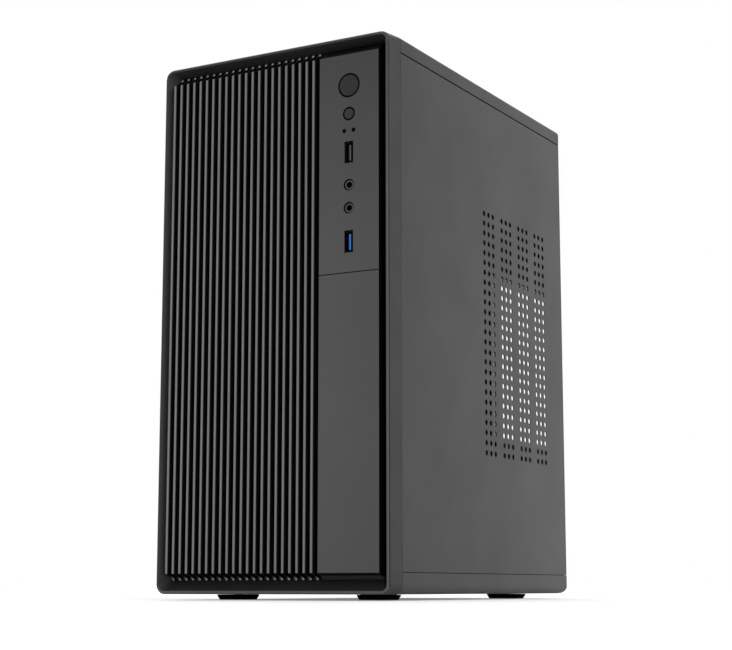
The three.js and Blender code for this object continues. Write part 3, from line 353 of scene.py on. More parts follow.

# %% [markdown]
# ## The bezel's opening
# The bezel is one moulding. Its lip and outer sides are etched grey, and the slopes inside it
# are dark with painted shade. They meet along the lip's opening, which is a rounded rectangle.
# A mask of straight bands would give it square corners, so this one is made from the
# distance to the rounded shape.

# %% The shape of the lip
BEZEL_MIDDLE = 175.0
LIP_HALF_WIDE, LIP_HALF_TALL, LIP_CORNER = 84.2, 173.0, 4.0


def from_middle(made):
    """The height above or below the middle of the bezel, in metres."""
    middle = scene_at("Z", BEZEL_MIDDLE)
    return made.math("ABSOLUTE", made.math("SUBTRACT", made.along("Z"), middle))


def outside_lip(made):
    """A mask that is 1 outside the rounded opening of the lip."""
    sideways, upright = made.math("ABSOLUTE", made.along("X")), from_middle(made)
    squares = []
    for distance, half in ((sideways, LIP_HALF_WIDE), (upright, LIP_HALF_TALL)):
        past = made.math("SUBTRACT", distance, (half - LIP_CORNER) * MM)
        squares.append(made.math("POWER", made.math("MAXIMUM", past, 0.0), 2.0))
    out = made.math("SQRT", made.math("ADD", *squares))
    return made.spread(out, 0, 1, (LIP_CORNER - 0.3) * MM, (LIP_CORNER + 0.1) * MM)


print("lip opening", 2 * LIP_HALF_WIDE, "x", 2 * LIP_HALF_TALL, "mm")

# %% [markdown]
# ## The bezel's slopes
# Inside the lip, the moulding slopes down to the ribs on all four sides. The left slope turns
# to the light and the right one away from it, and they meet the others in mitres at the
# corners. The slopes are one surface in the model, so shares of one grey along the width and
# the height stand for the light on them, and the mitre is a mask across both directions.

# %% Light on the slopes
SLOPE_GREY, GAP_SHADE_GREY = 52, 4
OTHER_SLOPES = 0.62
LEFT_TO_RIGHT = [
    (-LIP_HALF_WIDE, 0.95),
    (-79.6, 1.0),
    (-78.0, OTHER_SLOPES),
    (LIP_HALF_WIDE, OTHER_SLOPES),
]
SILL_TO_TOP = [(-0.5, 0.62), (9.0, 0.62), (11.5, 1.0), (346.5, 1.0)]
RIGHT_SLOPE_X = (76.5, 77.5)
MITRE_BLUR = 0.2


def bezel_slopes(made):
    inside = made.shaded(made.cloudy(grey(SLOPE_GREY)), "X", LEFT_TO_RIGHT)
    inside = made.shaded(inside, "Z", SILL_TO_TOP)
    # The right slope is painted black, as shade, as far as its mitres with the top and the
    # bottom
    mitre = LIP_HALF_WIDE - LIP_HALF_TALL
    past = made.math("SUBTRACT", made.along("X"), from_middle(made))
    past = made.spread(past, 0, 1, (mitre - MITRE_BLUR) * MM, (mitre + MITRE_BLUR) * MM)
    right_slope = made.both(past, made.fade("X", *RIGHT_SLOPE_X))
    return made.mixed(right_slope, inside, made.cloudy(grey(GAP_SHADE_GREY)))


print("slopes run from", LEFT_TO_RIGHT[0][0], "to", LEFT_TO_RIGHT[-1][0], "mm")

# %% [markdown]
# ## The bezel's lip and sides
# The lip's front face carries a painted highlight along the bottom and, fading upwards, along
# the right-hand side, and a fine crease of painted shade parts it from the side there.
# Separate materials would need their own faces, so these too are masks on one surface.

# %% Lip, sides and crease
SIDE_GREY, LIP_HIGHLIGHT_GREY, CREASE_SHADE_GREY = 53, 82, 34
RIGHT_LIP_X, RIGHT_LIP_FADE_Z = (74, 81), (246.5, 341.5)
LOW_LIP_Z = (2.5, 6)
LIP_FACE_Y = (0.35, 0.6)
CREASE_X, CREASE_Y = (85.6, 85.8), (0.9, 1.1)


def bezel_outside(made):
    # A painted highlight on the lip's face, and painted shade in the crease
    fading = made.fade("Z", *RIGHT_LIP_FADE_Z, 1, 0.4)
    right_lip = made.both(made.fade("X", *RIGHT_LIP_X), fading)
    lips = made.either(right_lip, made.fade("Z", *LOW_LIP_Z, 1, 0))
    lip_highlight = made.both(lips, made.fade("Y", *LIP_FACE_Y, 1, 0))
    outside = made.mixed(lip_highlight, made.cloudy(grey(SIDE_GREY)), made.cloudy(grey(LIP_HIGHLIGHT_GREY)))
    crease = made.both(made.fade("X", *CREASE_X), made.fade("Y", *CREASE_Y, 1, 0))
    return made.mixed(crease, outside, made.cloudy(grey(CREASE_SHADE_GREY)))


def bezel_plastic():
    made = Finish("bezel_plastic", grey(22), 0.42, specular=0.12)
    made.paint(made.mixed(outside_lip(made), bezel_slopes(made), bezel_outside(made)))
    made.gloss(0.36, 0.5)
    made.grain(*MOULD_GRAIN)
    return made.material


print("bezel greys", SIDE_GREY, LIP_HIGHLIGHT_GREY, CREASE_SHADE_GREY)

# %% [markdown]
# ## The ribs
# The grille is a row of upright ribs in black plastic. A painted highlight runs down the
# narrow rounded crest of each, and a brighter painted highlight marks the sloped foot it ends
# in. The ribs repeat at one pitch, so a ping-pong node folds the whole width onto half a rib,
# and one mask serves all.

# %% Ribbed plastic
FIRST_RIB, RIB_PITCH = -78.15, 5.21
CREST_HIGHLIGHT_GREY, FOOT_HIGHLIGHT_GREY, ROOT_GREY = 122, 152, 13
CREST_HALF, CREST_Y = (0.5, 1.0), (0.12, 0.5)
LOW_FEET_Z, HIGH_FEET_Z = (10.4, 10.9), (342.8, 343.6)


def rib_plastic():
    made = Finish("rib_plastic", grey(20), 0.4, specular=0.15)
    from_first = made.math("SUBTRACT", made.along("X"), FIRST_RIB * MM)
    aside = made.math("PINGPONG", from_first, RIB_PITCH / 2 * MM)
    line = made.spread(aside, 1, 0, *[half * MM for half in CREST_HALF])
    feet = made.either(made.fade("Z", *LOW_FEET_Z, 1, 0), made.fade("Z", *HIGH_FEET_Z))
    # The mask of the painted highlight: the crests, and the feet
    light = made.both(line, made.either(made.fade("Y", *CREST_Y, 1, 0), feet))
    # The painted highlight on the crests is a little darker towards the controls and towards
    # the top, as painted shade
    crests = made.shaded(made.cloudy(grey(CREST_HIGHLIGHT_GREY)), "X", [(-79, 1.0), (36, 0.86)])
    crests = made.shaded(crests, "Z", [(-0.5, 1.0), (346.5, 0.87)])
    crests = made.mixed(feet, crests, made.cloudy(grey(FOOT_HIGHLIGHT_GREY)))
    made.paint(made.mixed(light, made.cloudy(grey(ROOT_GREY)), crests))
    made.gloss(0.34, 0.46)
    made.grain(*FINE_GRAIN)
    return made.material


print("ribs every", RIB_PITCH, "mm")

# %% [markdown]
# ## The control strip
# The strip beside the ribs is a flat grey moulding. Painted shade makes it darker towards the
# top, under the bezel's overhang, and a little darker to the right. Its sides are painted
# nearly black, as shade from the groove round it, and its underside is painted lighter, as
# light from the floor. Stops along the height follow that change more closely than one lamp
# could.

# %% Strip plastic
STRIP_GREY, UNDERSIDE_LIGHT_GREY = 76, 60
STRIP_UPWARDS = [(-0.5, 1.0), (196.5, 0.96), (286.5, 0.79), (331.5, 0.61), (346.5, 0.57)]
STRIP_ACROSS = [(44.5, 1.0), (70.5, 0.92)]
BEHIND_FRONT_Y, UNDERSIDE_Z = (0.12, 0.42), (11.0, 11.4)


def strip_plastic():
    made = Finish("strip_plastic", grey(72), 0.5, specular=0.2)
    # Painted shade darkens the front towards the top and to the right, the sides take painted
    # shade and the underside painted light from the floor
    front = made.shaded(made.cloudy(grey(STRIP_GREY)), "Z", STRIP_UPWARDS)
    front = made.shaded(front, "X", STRIP_ACROSS)
    below = made.fade("Z", *UNDERSIDE_Z, 1, 0)
    sides = made.mixed(below, made.cloudy(grey(GAP_SHADE_GREY)), made.cloudy(grey(UNDERSIDE_LIGHT_GREY)))
    made.paint(made.mixed(made.fade("Y", *BEHIND_FRONT_Y), front, sides))
    made.gloss(0.45, 0.56)
    made.grain(*MOULD_GRAIN)
    return made.material


print("strip shares", [share for _, share in STRIP_UPWARDS])

# %% [markdown]
# ## Buttons and jacks
# Each button sits in a narrow gap, and each audio jack is a grey ring round a black hole. On
# the real case the gaps look black, but soft lamps reach into them, so painted shade makes the
# rim of a cap and the inside of a ring black. Both are round, so the mask is the distance from
# the part's own centre.

# %% Round faces
CONTROL_X = 57.6
POWER_Z, RESET_Z = 318.1, 299.5
UPPER_JACK_Z, LOWER_JACK_Z = 253.4, 238.6
USB2_Z, USB3_Z = 274.5, 217.1
JACK_RING, JACK_FRONT = (2.05, 2.9), 1.2
RIM_BLUR, HOLE_BLUR = 0.15, 0.1


def round_face(name, value, height, inner, outer, front=None):
    """Grey from the inner to the outer radius, and painted shade in black inside and outside
    that ring and behind the depth of its front.
    """
    made = Finish(name, grey(value), 0.5, specular=0.03)
    centre = place(CONTROL_X, 0, height)
    across = made.math("SUBTRACT", made.along("X"), centre.x)
    up = made.math("SUBTRACT", made.along("Z"), centre.z)
    squares = made.math("ADD", made.math("POWER", across, 2), made.math("POWER", up, 2))
    out = made.math("SQRT", squares)
    beyond = made.spread(out, 0, 1, (outer - RIM_BLUR) * MM, (outer + RIM_BLUR) * MM)
    hole = made.spread(out, 1, 0, (inner - HOLE_BLUR) * MM, (inner + HOLE_BLUR) * MM)
    face, black = made.cloudy(grey(value)), made.cloudy(grey(GAP_SHADE_GREY))
    if front is not None:
        face = made.mixed(made.fade("Y", front, front + 0.3), face, black)
    made.paint(made.mixed(made.either(beyond, hole), face, black))
    made.gloss(0.46, 0.56)
    made.grain(*MOULD_GRAIN)
    return made.material


power_face = round_face("power_button_face", 50, POWER_Z, inner=0, outer=6.75)
reset_face = round_face("reset_button_face", 55, RESET_Z, inner=0, outer=3.3)
upper_jack = round_face("upper_jack_face", 84, UPPER_JACK_Z, *JACK_RING, JACK_FRONT)
lower_jack = round_face("lower_jack_face", 84, LOWER_JACK_Z, *JACK_RING, JACK_FRONT)
print("four round faces")

# %% [markdown]
# ## Tongues
# The plastic tongue in a USB socket is grey, or blue in the faster kind. It is coloured along
# its middle, and painted shade darkens its edges, where the metal shell shades them. The
# tongue stands on its edge here, so the mask is the distance from its middle, to either side.

# %% Two tongues
TONGUE_MIDDLE = CONTROL_X - 0.05
TONGUE_EDGE = (0.5, 0.62)


def tongue_plastic(name, face, shaded_flank):
    made = Finish(name, face, 0.4, specular=0.2)
    from_centre = made.math("SUBTRACT", made.along("X"), TONGUE_MIDDLE * MM)
    aside = made.math("ABSOLUTE", from_centre)
    edge = made.spread(aside, 0, 1, *[x * MM for x in TONGUE_EDGE])
    # Painted shade on the edges of the tongue
    made.paint(made.mixed(edge, made.cloudy(face), made.cloudy(shaded_flank)))
    made.grain(*FINE_GRAIN)
    return made.material


blue, shaded_blue = grey(140, tint=(0.15, 0.74, 2.3)), grey(20, tint=(0.05, 1.5, 9.0))
grey_tongue = tongue_plastic("grey_tongue", face=grey(78), shaded_flank=grey(14))
blue_tongue = tongue_plastic("blue_tongue", face=blue, shaded_flank=shaded_blue)
print("a grey tongue and a blue one")

# %% [markdown]
# ## A finish for every part
# The engineering model names a material slot for each solid. Most solids take the finish of
# their slot, so that parts of one material match. The few whose paint depends on their own
# place, such as the buttons, are named one by one.

# %% Finishes by slot and by part
by_slot = {
    "coated_steel": shell_coat,
    "black_steel": black_paint,
    "bezel_plastic": bezel_plastic(),
    "rib_plastic": rib_plastic(),
    "strip_plastic": strip_plastic(),
    "button_plastic": plastic("button_plastic", 36, roughness=0.42, specular=0.2),
    "plating": bright_plating,
    "insulator": plastic("grey_insulator", 84, roughness=0.45, specular=0.2),
    "socket_plastic": plastic("socket_plastic", 24, roughness=0.4, specular=0.2),
    "board": plastic("circuit_board", 60, roughness=0.35, tint=(0.35, 1.2, 0.5)),
    # The LED lenses are painted near black, with almost no reflection
    "lens": plastic("near_black_lens", 2, roughness=0.5, specular=0.03),
    "fan_plastic": plastic("fan_plastic", 22, roughness=0.45),
    "supply_steel": galvanised,
    "rubber": plastic("foot_rubber", 14, 0.85, specular=0.15, grain=(900, 0.00006)),
}
by_node = {
    "power_button": power_face,
    "reset_button": reset_face,
    "upper_audio_jack": upper_jack,
    "lower_audio_jack": lower_jack,
    "usb2_tongue": grey_tongue,
    "usb3_tongue": blue_tongue,
    "usb2_shell": socket_shell,
    "usb3_shell": socket_shell,
}
print(len(by_slot), "slots and", len(by_node), "parts with a finish of their own")

# %% [markdown]
# ## Rounded edges
# The engineering solids have knife edges. On the real case every edge is a small fold radius
# or a moulded round, and it is that thin bright line that makes it look real. A planar
# decimate merges the flat triangles into whole faces, and a narrow bevel then rounds every
# edge between them. Both are modifiers, so the solids themselves stay as they are.

# %% Dress the solids
FLAT_WITHIN = math.radians(0.5)
SHARP_BEYOND = math.radians(28)
EDGE = {
    "front_bezel": 0.5,
    "grille_insert": 0.7,
    "io_fascia": 0.3,
    "blank_fascia": 0.3,
    "top_cover": 0.35,
    "chassis_base": 0.25,
}
OTHER_EDGE = 0.15


def soften(piece, width, segments=2):
    flatten = piece.modifiers.new("whole_faces", "DECIMATE")
    flatten.decimate_type = "DISSOLVE"
    flatten.angle_limit = FLAT_WITHIN
    edge = piece.modifiers.new("rounded_edges", "BEVEL")
    edge.width = width * MM
    edge.segments = segments
    edge.limit_method = "ANGLE"
    edge.angle_limit = SHARP_BEYOND
    edge.harden_normals = True


slots = {row["node"]: row["material_slot"] for row in frame["record"]["subparts"]}
for name, solid in nodes.items():
    solid.data.materials.clear()
    solid.data.materials.append(by_node[name] if name in by_node else by_slot[slots[name]])
    solid.data.shade_smooth()
    solid.data.set_sharp_from_angle(angle=SHARP_BEYOND)
    soften(solid, EDGE.get(name, OTHER_EDGE), 4 if name == "grille_insert" else 2)
print("dressed", len(nodes), "solids")

# %% [markdown]
# ## Sheets with holes
# A few pieces need finer detail than the engineering solids carry: the punched sheets, the
# knurled screws and the small metal parts. They are drawn in millimetres on the same drawing
# frame. A flat sheet with holes could be cut with booleans, one hole at a time, but a filled
# 2D curve is quicker and cleaner: Blender fills the outline, leaves the holes open, gives it
# thickness, and rounds the punched edges.


# %% Outlines and flat sheets
def circle(u, v, radius, sides=20, start=0.0):
    turn = 2 * math.pi / sides
    return [
        (u + radius * math.cos(start + k * turn), v + radius * math.sin(start + k * turn))
        for k in range(sides)
    ]


def rectangle(u0, u1, v0, v1):
    return [(u0, v0), (u1, v0), (u1, v1), (u0, v1)]


def cut_out(u, v, wide, tall):
    """A rectangle round a centre."""
    return rectangle(u - wide / 2, u + wide / 2, v - tall / 2, v + tall / 2)


def filled_sheet(outline, holes, thickness, edge):
    """A mesh of a flat sheet with holes, centred on its own middle plane."""
    curve = bpy.data.curves.new("sheet", "CURVE")
    curve.dimensions = "2D"
    curve.fill_mode = "BOTH"
    curve.extrude = thickness / 2 - edge
    curve.bevel_depth = edge
    curve.bevel_resolution = 1
    curve.offset = -edge
    for loop in (outline, *holes):
        spline = curve.splines.new("POLY")
        spline.points.add(len(loop) - 1)
        for point, (u, v) in zip(spline.points, loop):
            point.co = (u, v, 0, 1)
        spline.use_cyclic_u = True
    holder = bpy.data.objects.new("sheet", curve)
    bpy.context.scene.collection.objects.link(holder)
    graph = bpy.context.evaluated_depsgraph_get()
    mesh = bpy.data.meshes.new_from_object(holder.evaluated_get(graph))
    bpy.data.objects.remove(holder)
    return mesh


print("a circle of", len(circle(0, 0, 1)), "sides is round enough for a vent")

# %% [markdown]
# ## Bodies and pieces
# Boxes, prisms and turned parts are all one thing, a loft: rings of points joined one to the
# next and closed at both ends. So one method makes the faces, and the others only draw its
# rings. A piece may be several closed bodies, as a screw is a head and a shank, and at the
# end they become one mesh that rides on a body of the engineering model.

# %% Drawing bodies
SHEET = 0.8
# Where the two flat directions and the thickness of a drawing go, for each facing
FACING = {
    "X": Matrix(((0, 0, 1, 0), (1, 0, 0, 0), (0, 1, 0, 0), (0, 0, 0, 1))),
    "Y": Matrix(((1, 0, 0, 0), (0, 0, 1, 0), (0, 1, 0, 0), (0, 0, 0, 1))),
    "Z": Matrix.Identity(4),
}


class Shape:
    """Closed bodies gathered on the drawing frame."""

    def __init__(self):
        self.mesh = bmesh.new()

    def add(self, mesh, matrix):
        """Takes in a finished mesh and removes the original."""
        held = len(self.mesh.verts)
        self.mesh.from_mesh(mesh)
        self.mesh.verts.ensure_lookup_table()
        bmesh.ops.transform(self.mesh, matrix=matrix, verts=self.mesh.verts[held:])
        bpy.data.meshes.remove(mesh)

    def sheet(self, facing, at, outline, holes=(), thickness=SHEET, edge=0.1):
        """A sheet facing X, Y or Z whose middle is at that coordinate."""
        mesh = filled_sheet(outline, holes, thickness, edge)
        self.add(mesh, FACING[facing] @ Matrix.Translation((0, 0, at)))

    def loft(self, rings, matrix=Matrix.Identity(4)):
        """Joins rings of points that have the same count, and caps both ends."""
        loops = [[self.mesh.verts.new(matrix @ Vector(p)) for p in ring] for ring in rings]
        for below, above in zip(loops, loops[1:]):
            for k in range(len(below)):
                n = (k + 1) % len(below)
                self.mesh.faces.new((below[k], below[n], above[n], above[k]))
        self.mesh.faces.new(loops[0][::-1])
        self.mesh.faces.new(loops[-1])

    def prism(self, facing, low, high, outline, matrix=Matrix.Identity(4)):
        rings = [[(u, v, w) for u, v in outline] for w in (low, high)]
        self.loft(rings, matrix @ FACING[facing])

    def box(self, x, y, z):
        self.prism("Z", z[0], z[1], rectangle(*x, *y))

    def turned(self, profile, matrix, sides=32):
        """A profile of (radius, height) pairs turned about the matrix's own Z axis."""
        rings = [[(u, v, h) for u, v in circle(0, 0, r, sides)] for r, h in profile]
        self.loft(rings, matrix)

    def mirror(self):
        bmesh.ops.scale(self.mesh, vec=(-1, 1, 1), verts=self.mesh.verts)


print("sheet steel is", SHEET, "mm thick")

# %% From bodies to a piece
TO_SCENE = Matrix.Scale(MM, 4) @ Matrix.Translation((0, -FRONT_TO_CENTRE, FOOT_HEIGHT))
SAME_POINT = 0.0005
SMOOTH_WITHIN = math.radians(32)


def build(shape, name, finish, body, replaces=()):
    bmesh.ops.remove_doubles(shape.mesh, verts=shape.mesh.verts, dist=SAME_POINT)
    bmesh.ops.recalc_face_normals(shape.mesh, faces=shape.mesh.faces)
    bmesh.ops.transform(shape.mesh, matrix=TO_SCENE, verts=shape.mesh.verts)
    data = bpy.data.meshes.new(name)
    shape.mesh.to_mesh(data)
    shape.mesh.free()
    data.materials.append(finish)
    data.shade_smooth()
    data.set_sharp_from_angle(angle=SMOOTH_WITHIN)
    made = bpy.data.objects.new(name, data)
    bpy.context.scene.collection.objects.link(made)
    level = made.modifiers.new("flat_faces_stay_flat", "WEIGHTED_NORMAL")
    level.keep_sharp = True
    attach(made, body)
    if replaces:
        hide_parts(*replaces)
    print(name, len(data.vertices), "points")


print("points closer than", SAME_POINT, "mm are joined")

# %% [markdown]
# ## Side panels
# Each side panel is a single sheet, punched with columns of round vents, with a fold down its
# rear edge for the thumbscrews and six hooks behind it. The right panel has four groups of
# three columns beside the board, and the left has two short groups. The holes are all in one
# outline, so that every vent has a true punched edge.

# %% Vents
VENT_RADIUS = 1.85
VENT_ROW, VENT_COLUMN = 6.89, 7.12
COLUMNS_IN_GROUP = 3


def vent_field(front, bottom, groups, rows):
    """Groups of three columns, with one column left out between two groups."""
    step = COLUMNS_IN_GROUP + 1
    columns = [
        front + (group * step + column) * VENT_COLUMN
        for group in range(groups)
        for column in range(COLUMNS_IN_GROUP)
    ]
    return [
        circle(y, bottom + row * VENT_ROW, VENT_RADIUS) for y in columns for row in range(rows)
    ]


right_vents = vent_field(front=136.3, bottom=93.8, groups=4, rows=25)
left_vents = vent_field(front=172.0, bottom=135.1, groups=2, rows=11)
print(len(right_vents), "vents on the right and", len(left_vents), "on the left")

# %% Panel sheets
HALF_WIDTH = 86.2
PUNCHED_EDGE = 0.25
PANEL_Y, PANEL_Z = (16.3, 270.0), (13.35, 339.1)
FRONT_FOLD_Y, FRONT_FOLD_Z = (16.35, 17.1), (33, 320)
REAR_FOLD, REAR_FOLD_Z = 11, (13.15, 339.8)
THUMBSCREW_X, THUMBSCREW_Z = 80.2, (60, 300)
HOOK = [(85.5, 0), (85.5, 3), (82.5, 3), (82.5, -6), (83.3, -6), (83.3, 0)]
HOOK_Y, HOOK_Z, HOOK_HEIGHT = (60, 140, 220), (15.5, 333.5), 4


def side_panel(side, vents):
    """Drawn as the right panel, and mirrored for the left."""
    shape = Shape()
    outer = HALF_WIDTH - 0.15
    face = rectangle(*PANEL_Y, *PANEL_Z)
    shape.sheet("X", HALF_WIDTH - SHEET / 2, face, vents, edge=PUNCHED_EDGE)
    shape.box((HALF_WIDTH - 2.2, outer), FRONT_FOLD_Y, FRONT_FOLD_Z)
    fold = rectangle(HALF_WIDTH - REAR_FOLD, outer, *REAR_FOLD_Z)
    screw_holes = [circle(THUMBSCREW_X, z, 2.05) for z in THUMBSCREW_Z]
    shape.sheet("Y", PANEL_Y[1] - SHEET / 2, fold, screw_holes)
    for low in HOOK_Z:
        for y in HOOK_Y:
            hook = [(u, v + y) for u, v in HOOK]
            shape.prism("Z", low, low + HOOK_HEIGHT, hook)
    if side == "left":
        shape.mirror()
    sheet, solid = f"{side}_panel_sheet", f"{side}_side_panel"
    build(shape, sheet, panel_coat, f"{side}_panel", [solid])


side_panel("right", right_vents)
side_panel("left", left_vents)
print("panels from", PANEL_Y[0], "to", PANEL_Y[1], "mm deep")

# %% [markdown]
# ## A lit strip behind the vents
# A strip lies on the raised edge of the tray's window, close behind the vents, and shows
# through them as a grey line. Its light grey is painted light, standing for the lit edge of
# the window seen through the vents. It is a flat L, so an extruded outline is enough.

# %% A lit strip on the window's edge
lit_edge_finish = plastic("lit_edge_grey", 136, roughness=0.85, specular=0.1, grain=(1200, 0.0001))
FOAM_X, FOAM_THICK = 84.3, 1.6
UPRIGHT_Y, LEVEL_END = (150.6, 155.6), 250
UPRIGHT_FOOT, LEVEL_Z = 103, (215.6, 218.2)

shape = Shape()
(near, far), (under, over) = UPRIGHT_Y, LEVEL_Z
upright = [(near, UPRIGHT_FOOT), (far, UPRIGHT_FOOT), (far, under)]
strip = [*upright, (LEVEL_END, under), (LEVEL_END, over), (near, over)]
shape.sheet("X", FOAM_X, strip, thickness=FOAM_THICK, edge=0.2)
build(shape, "painted_light_strip", lit_edge_finish, "chassis")

# %% [markdown]
# ## Screws
# Two kinds of screw hold the case together: knurled thumbscrews on the side panels, and small
# cross-headed screws. A screw head is a sheet disc with a cross-shaped hole over a plain disc,
# which gives a true recess. The knurl is a ring of ridges that fades out at both ends.


# %% Screw heads
# Shares of the head's radius, and then of its height
CROSS_HALF, CROSS_REACH, DISC_BELOW = 0.13, 0.55, 0.7
ROUNDED, RECESS_FLOOR = 0.36, 0.35


def cross(half_width, reach):
    w, r = half_width, reach
    quarter = [(r, -w), (r, w), (w, w)]
    loop = []
    for k in range(4):
        turn = Matrix.Rotation(k * math.pi / 2, 2)
        loop += [tuple(turn @ Vector(p)) for p in quarter]
    return loop


def screw_head(shape, matrix, radius, height):
    """A cross-headed screw whose head stands on the matrix's XY plane."""
    recess = cross(radius * CROSS_HALF, radius * CROSS_REACH)
    disc = filled_sheet(circle(0, 0, radius, 32), [recess], height, height * ROUNDED)
    shape.add(disc, matrix @ Matrix.Translation((0, 0, height / 2)))
    below = radius * DISC_BELOW
    shape.turned([(below, -0.6), (below, height * RECESS_FLOOR)], matrix, 16)


print("the cross has", len(cross(1, 2)), "corners")

# %% Thumbscrews
UP_REAR = Matrix.Rotation(-math.pi / 2, 4, "X")
HEAD_START = 270.3
RIDGES = 40
SHANK = [(1.7, -7.2), (1.75, -6.6), (1.75, 0.2)]
KNURL = [(0, 3, 0), (1.2, 3, 0), (1.5, 3.6, 0), (1.9, 4, 0.28), (4, 4, 0.28), (4.5, 3.6, 0)]


def knurled(shape, matrix, rings):
    """Rings are (height, radius, depth of the ridges) up the matrix's Z axis."""
    loops = []
    for height, size, depth in rings:
        loop = []
        for k, (u, v) in enumerate(circle(0, 0, size, RIDGES * 2)):
            share = 1 - depth / size * (k % 2)
            loop.append((u * share, v * share, height))
        loops.append(loop)
    shape.loft(loops, matrix)


for side, hand in (("right", 1), ("left", -1)):
    for level, z in zip(("lower", "upper"), THUMBSCREW_Z):
        shape = Shape()
        foot = Matrix.Translation((hand * THUMBSCREW_X, HEAD_START, z)) @ UP_REAR
        shape.turned(SHANK, foot, 20)
        knurled(shape, foot, KNURL)
        cap = filled_sheet(circle(0, 0, 3.3, 40), [cross(0.5, 2.2)], 1.0, 0.3)
        shape.add(cap, foot @ Matrix.Translation((0, 0, 4.7)))
        name = f"{side}_{level}_thumbscrew"
        build(shape, name + "_knurled", bright_plating, f"{side}_panel", [name])

# %% [markdown]
# ## Rear panel
# The rear panel is one stamped sheet: a window for the power supply with a tab at each of its
# screws, the port opening, the card slots, and a honeycomb in front of the exhaust fan. A
# honeycomb is stronger than round holes with the same open area, and it costs six points a
# hole here.


# %% Stamped openings
def honeycomb(u, v, reach, pitch=6.1, radius=2.9):
    """Six-sided holes that lie wholly within reach of a centre."""
    cells = []
    row_pitch = pitch * math.sin(math.pi / 3)
    rows = int(reach / row_pitch)
    columns = int(reach / pitch) + 1
    for row in range(-rows, rows + 1):
        for column in range(-columns, columns + 1):
            du = (column + 0.5 * (row % 2)) * pitch
            dv = row * row_pitch
            if math.hypot(du, dv) + radius <= reach:
                cells.append(circle(u + du, v + dv, radius, 6, math.pi / 6))
    return cells


def tabbed_window(x, z0, z1, tab):
    """A window that steps in at its four corners."""
    inner, low, high = x - tab, z0 + tab, z1 - tab
    bottom = [(-inner, z0), (inner, z0)]
    right = [(inner, low), (x, low), (x, high), (inner, high)]
    top = [(inner, z1), (-inner, z1)]
    left = [(-inner, high), (-x, high), (-x, low), (-inner, low)]
    return bottom + right + top + left


FAN_X, FAN_Z = -28, 205
fan_grille = honeycomb(FAN_X, FAN_Z, 38)
print(len(fan_grille), "cells in front of the rear fan")

# %% Rear panel sheet
REAR = 268.1
REAR_OUTLINE = rectangle(-82.5, 82.5, 5.3, 346.7)
SUPPLY_WINDOW = tabbed_window(71, 262, 340, 6)
PORT_OPENING = rectangle(30.425, 74.875, 94.025, 252.775)
CARD_LOCK_Z = (13.3, 93.26)
LOCK_GAP = rectangle(-43.1, -40.6, *CARD_LOCK_Z)
LOCK_X, LOCK_END = -43.5, 279.3
SLOTS = [22.8 + 20.32 * k for k in range(4)]
SLOT_X, SLOT_TALL = (-27, 63), 12
FLANGE_Y, FLANGE_Z = 256, (24, 329)
SLOT_SCREW_Y = 274.5

shape = Shape()
openings = [
    SUPPLY_WINDOW,
    PORT_OPENING,
    LOCK_GAP,
    *[rectangle(*SLOT_X, z - SLOT_TALL / 2, z + SLOT_TALL / 2) for z in SLOTS],
    *[circle(hand * THUMBSCREW_X, z, 2.2) for hand in (-1, 1) for z in THUMBSCREW_Z],
    *fan_grille,
]
shape.sheet("Y", REAR + SHEET / 2, REAR_OUTLINE, openings)
# A flange down each side takes the panels' thumbscrews
for hand in (-1, 1):
    shape.box(sorted((hand * 82.7, hand * 83.5)), (FLANGE_Y, REAR + SHEET), FLANGE_Z)
    shape.box(sorted((hand * 82.3, hand * 83.5)), (REAR, REAR + SHEET), FLANGE_Z)
# The card lock stands out behind the slots, and a ledge carries the power supply
lock_holes = [circle(SLOT_SCREW_Y, z, 1.6) for z in SLOTS]
shape.sheet("X", LOCK_X, rectangle(REAR + 0.1, LOCK_END, *CARD_LOCK_Z), lock_holes)
shape.box((-72, -60), (255, REAR + 0.1), (256.9, 257.7))
build(shape, "rear_panel_sheet", black_paint, "chassis", ["rear_panel"])

# %% Screws on the rear
FAN_HOLES = (-35.75, 35.75)
SUPPLY_SCREWS = [(x, z) for x in (-69, 69) for z in (264, 338)]

shape = Shape()
for x, z in SUPPLY_SCREWS:
    screw_head(shape, Matrix.Translation((x, REAR + SHEET, z)) @ UP_REAR, 3.3, 1.9)
for dx in FAN_HOLES:
    for dz in FAN_HOLES:
        at = (FAN_X + dx, REAR + SHEET, FAN_Z + dz)
        screw_head(shape, Matrix.Translation(at) @ UP_REAR, 3.6, 1.7)
for z in SLOTS:
    across = Matrix.Translation((-42, SLOT_SCREW_Y, z)) @ Matrix.Rotation(math.pi / 2, 4, "Y")
    screw_head(shape, across, 3.0, 1.7)
build(shape, "rear_screws", blackened, "chassis")

# %% [markdown]
# ## Power supply
# The supply is a bright steel box with its fan underneath and its sockets at the back. The
# U-shaped half of its case is drawn again as three punched sheets, so that its outlet is a
# fine honeycomb and its fan opening is a true circle. The finger guard is bent wire: rings
# and spokes, all round in section.

# %% Supply case
SUPPLY_FRONT, SUPPLY_BACK = 127.8, 267.8
SUPPLY_FLOOR, SUPPLY_TOP = 258.0, 342.9
SUPPLY_HALF = 73.9
SUPPLY_MIDDLE = (SUPPLY_FRONT + SUPPLY_BACK) / 2
SOCKET_Z, SOCKET_TALL = 300, 20.6
INLET_X, INLET_WIDE = 44, 27.6
ROCKER_X, ROCKER_WIDE = 16, 14.6
OUTLET = (-34, 301, 34)
LEAD_HOLE = circle(-50, 318, 9, 32)
FAN_OPENING = 56

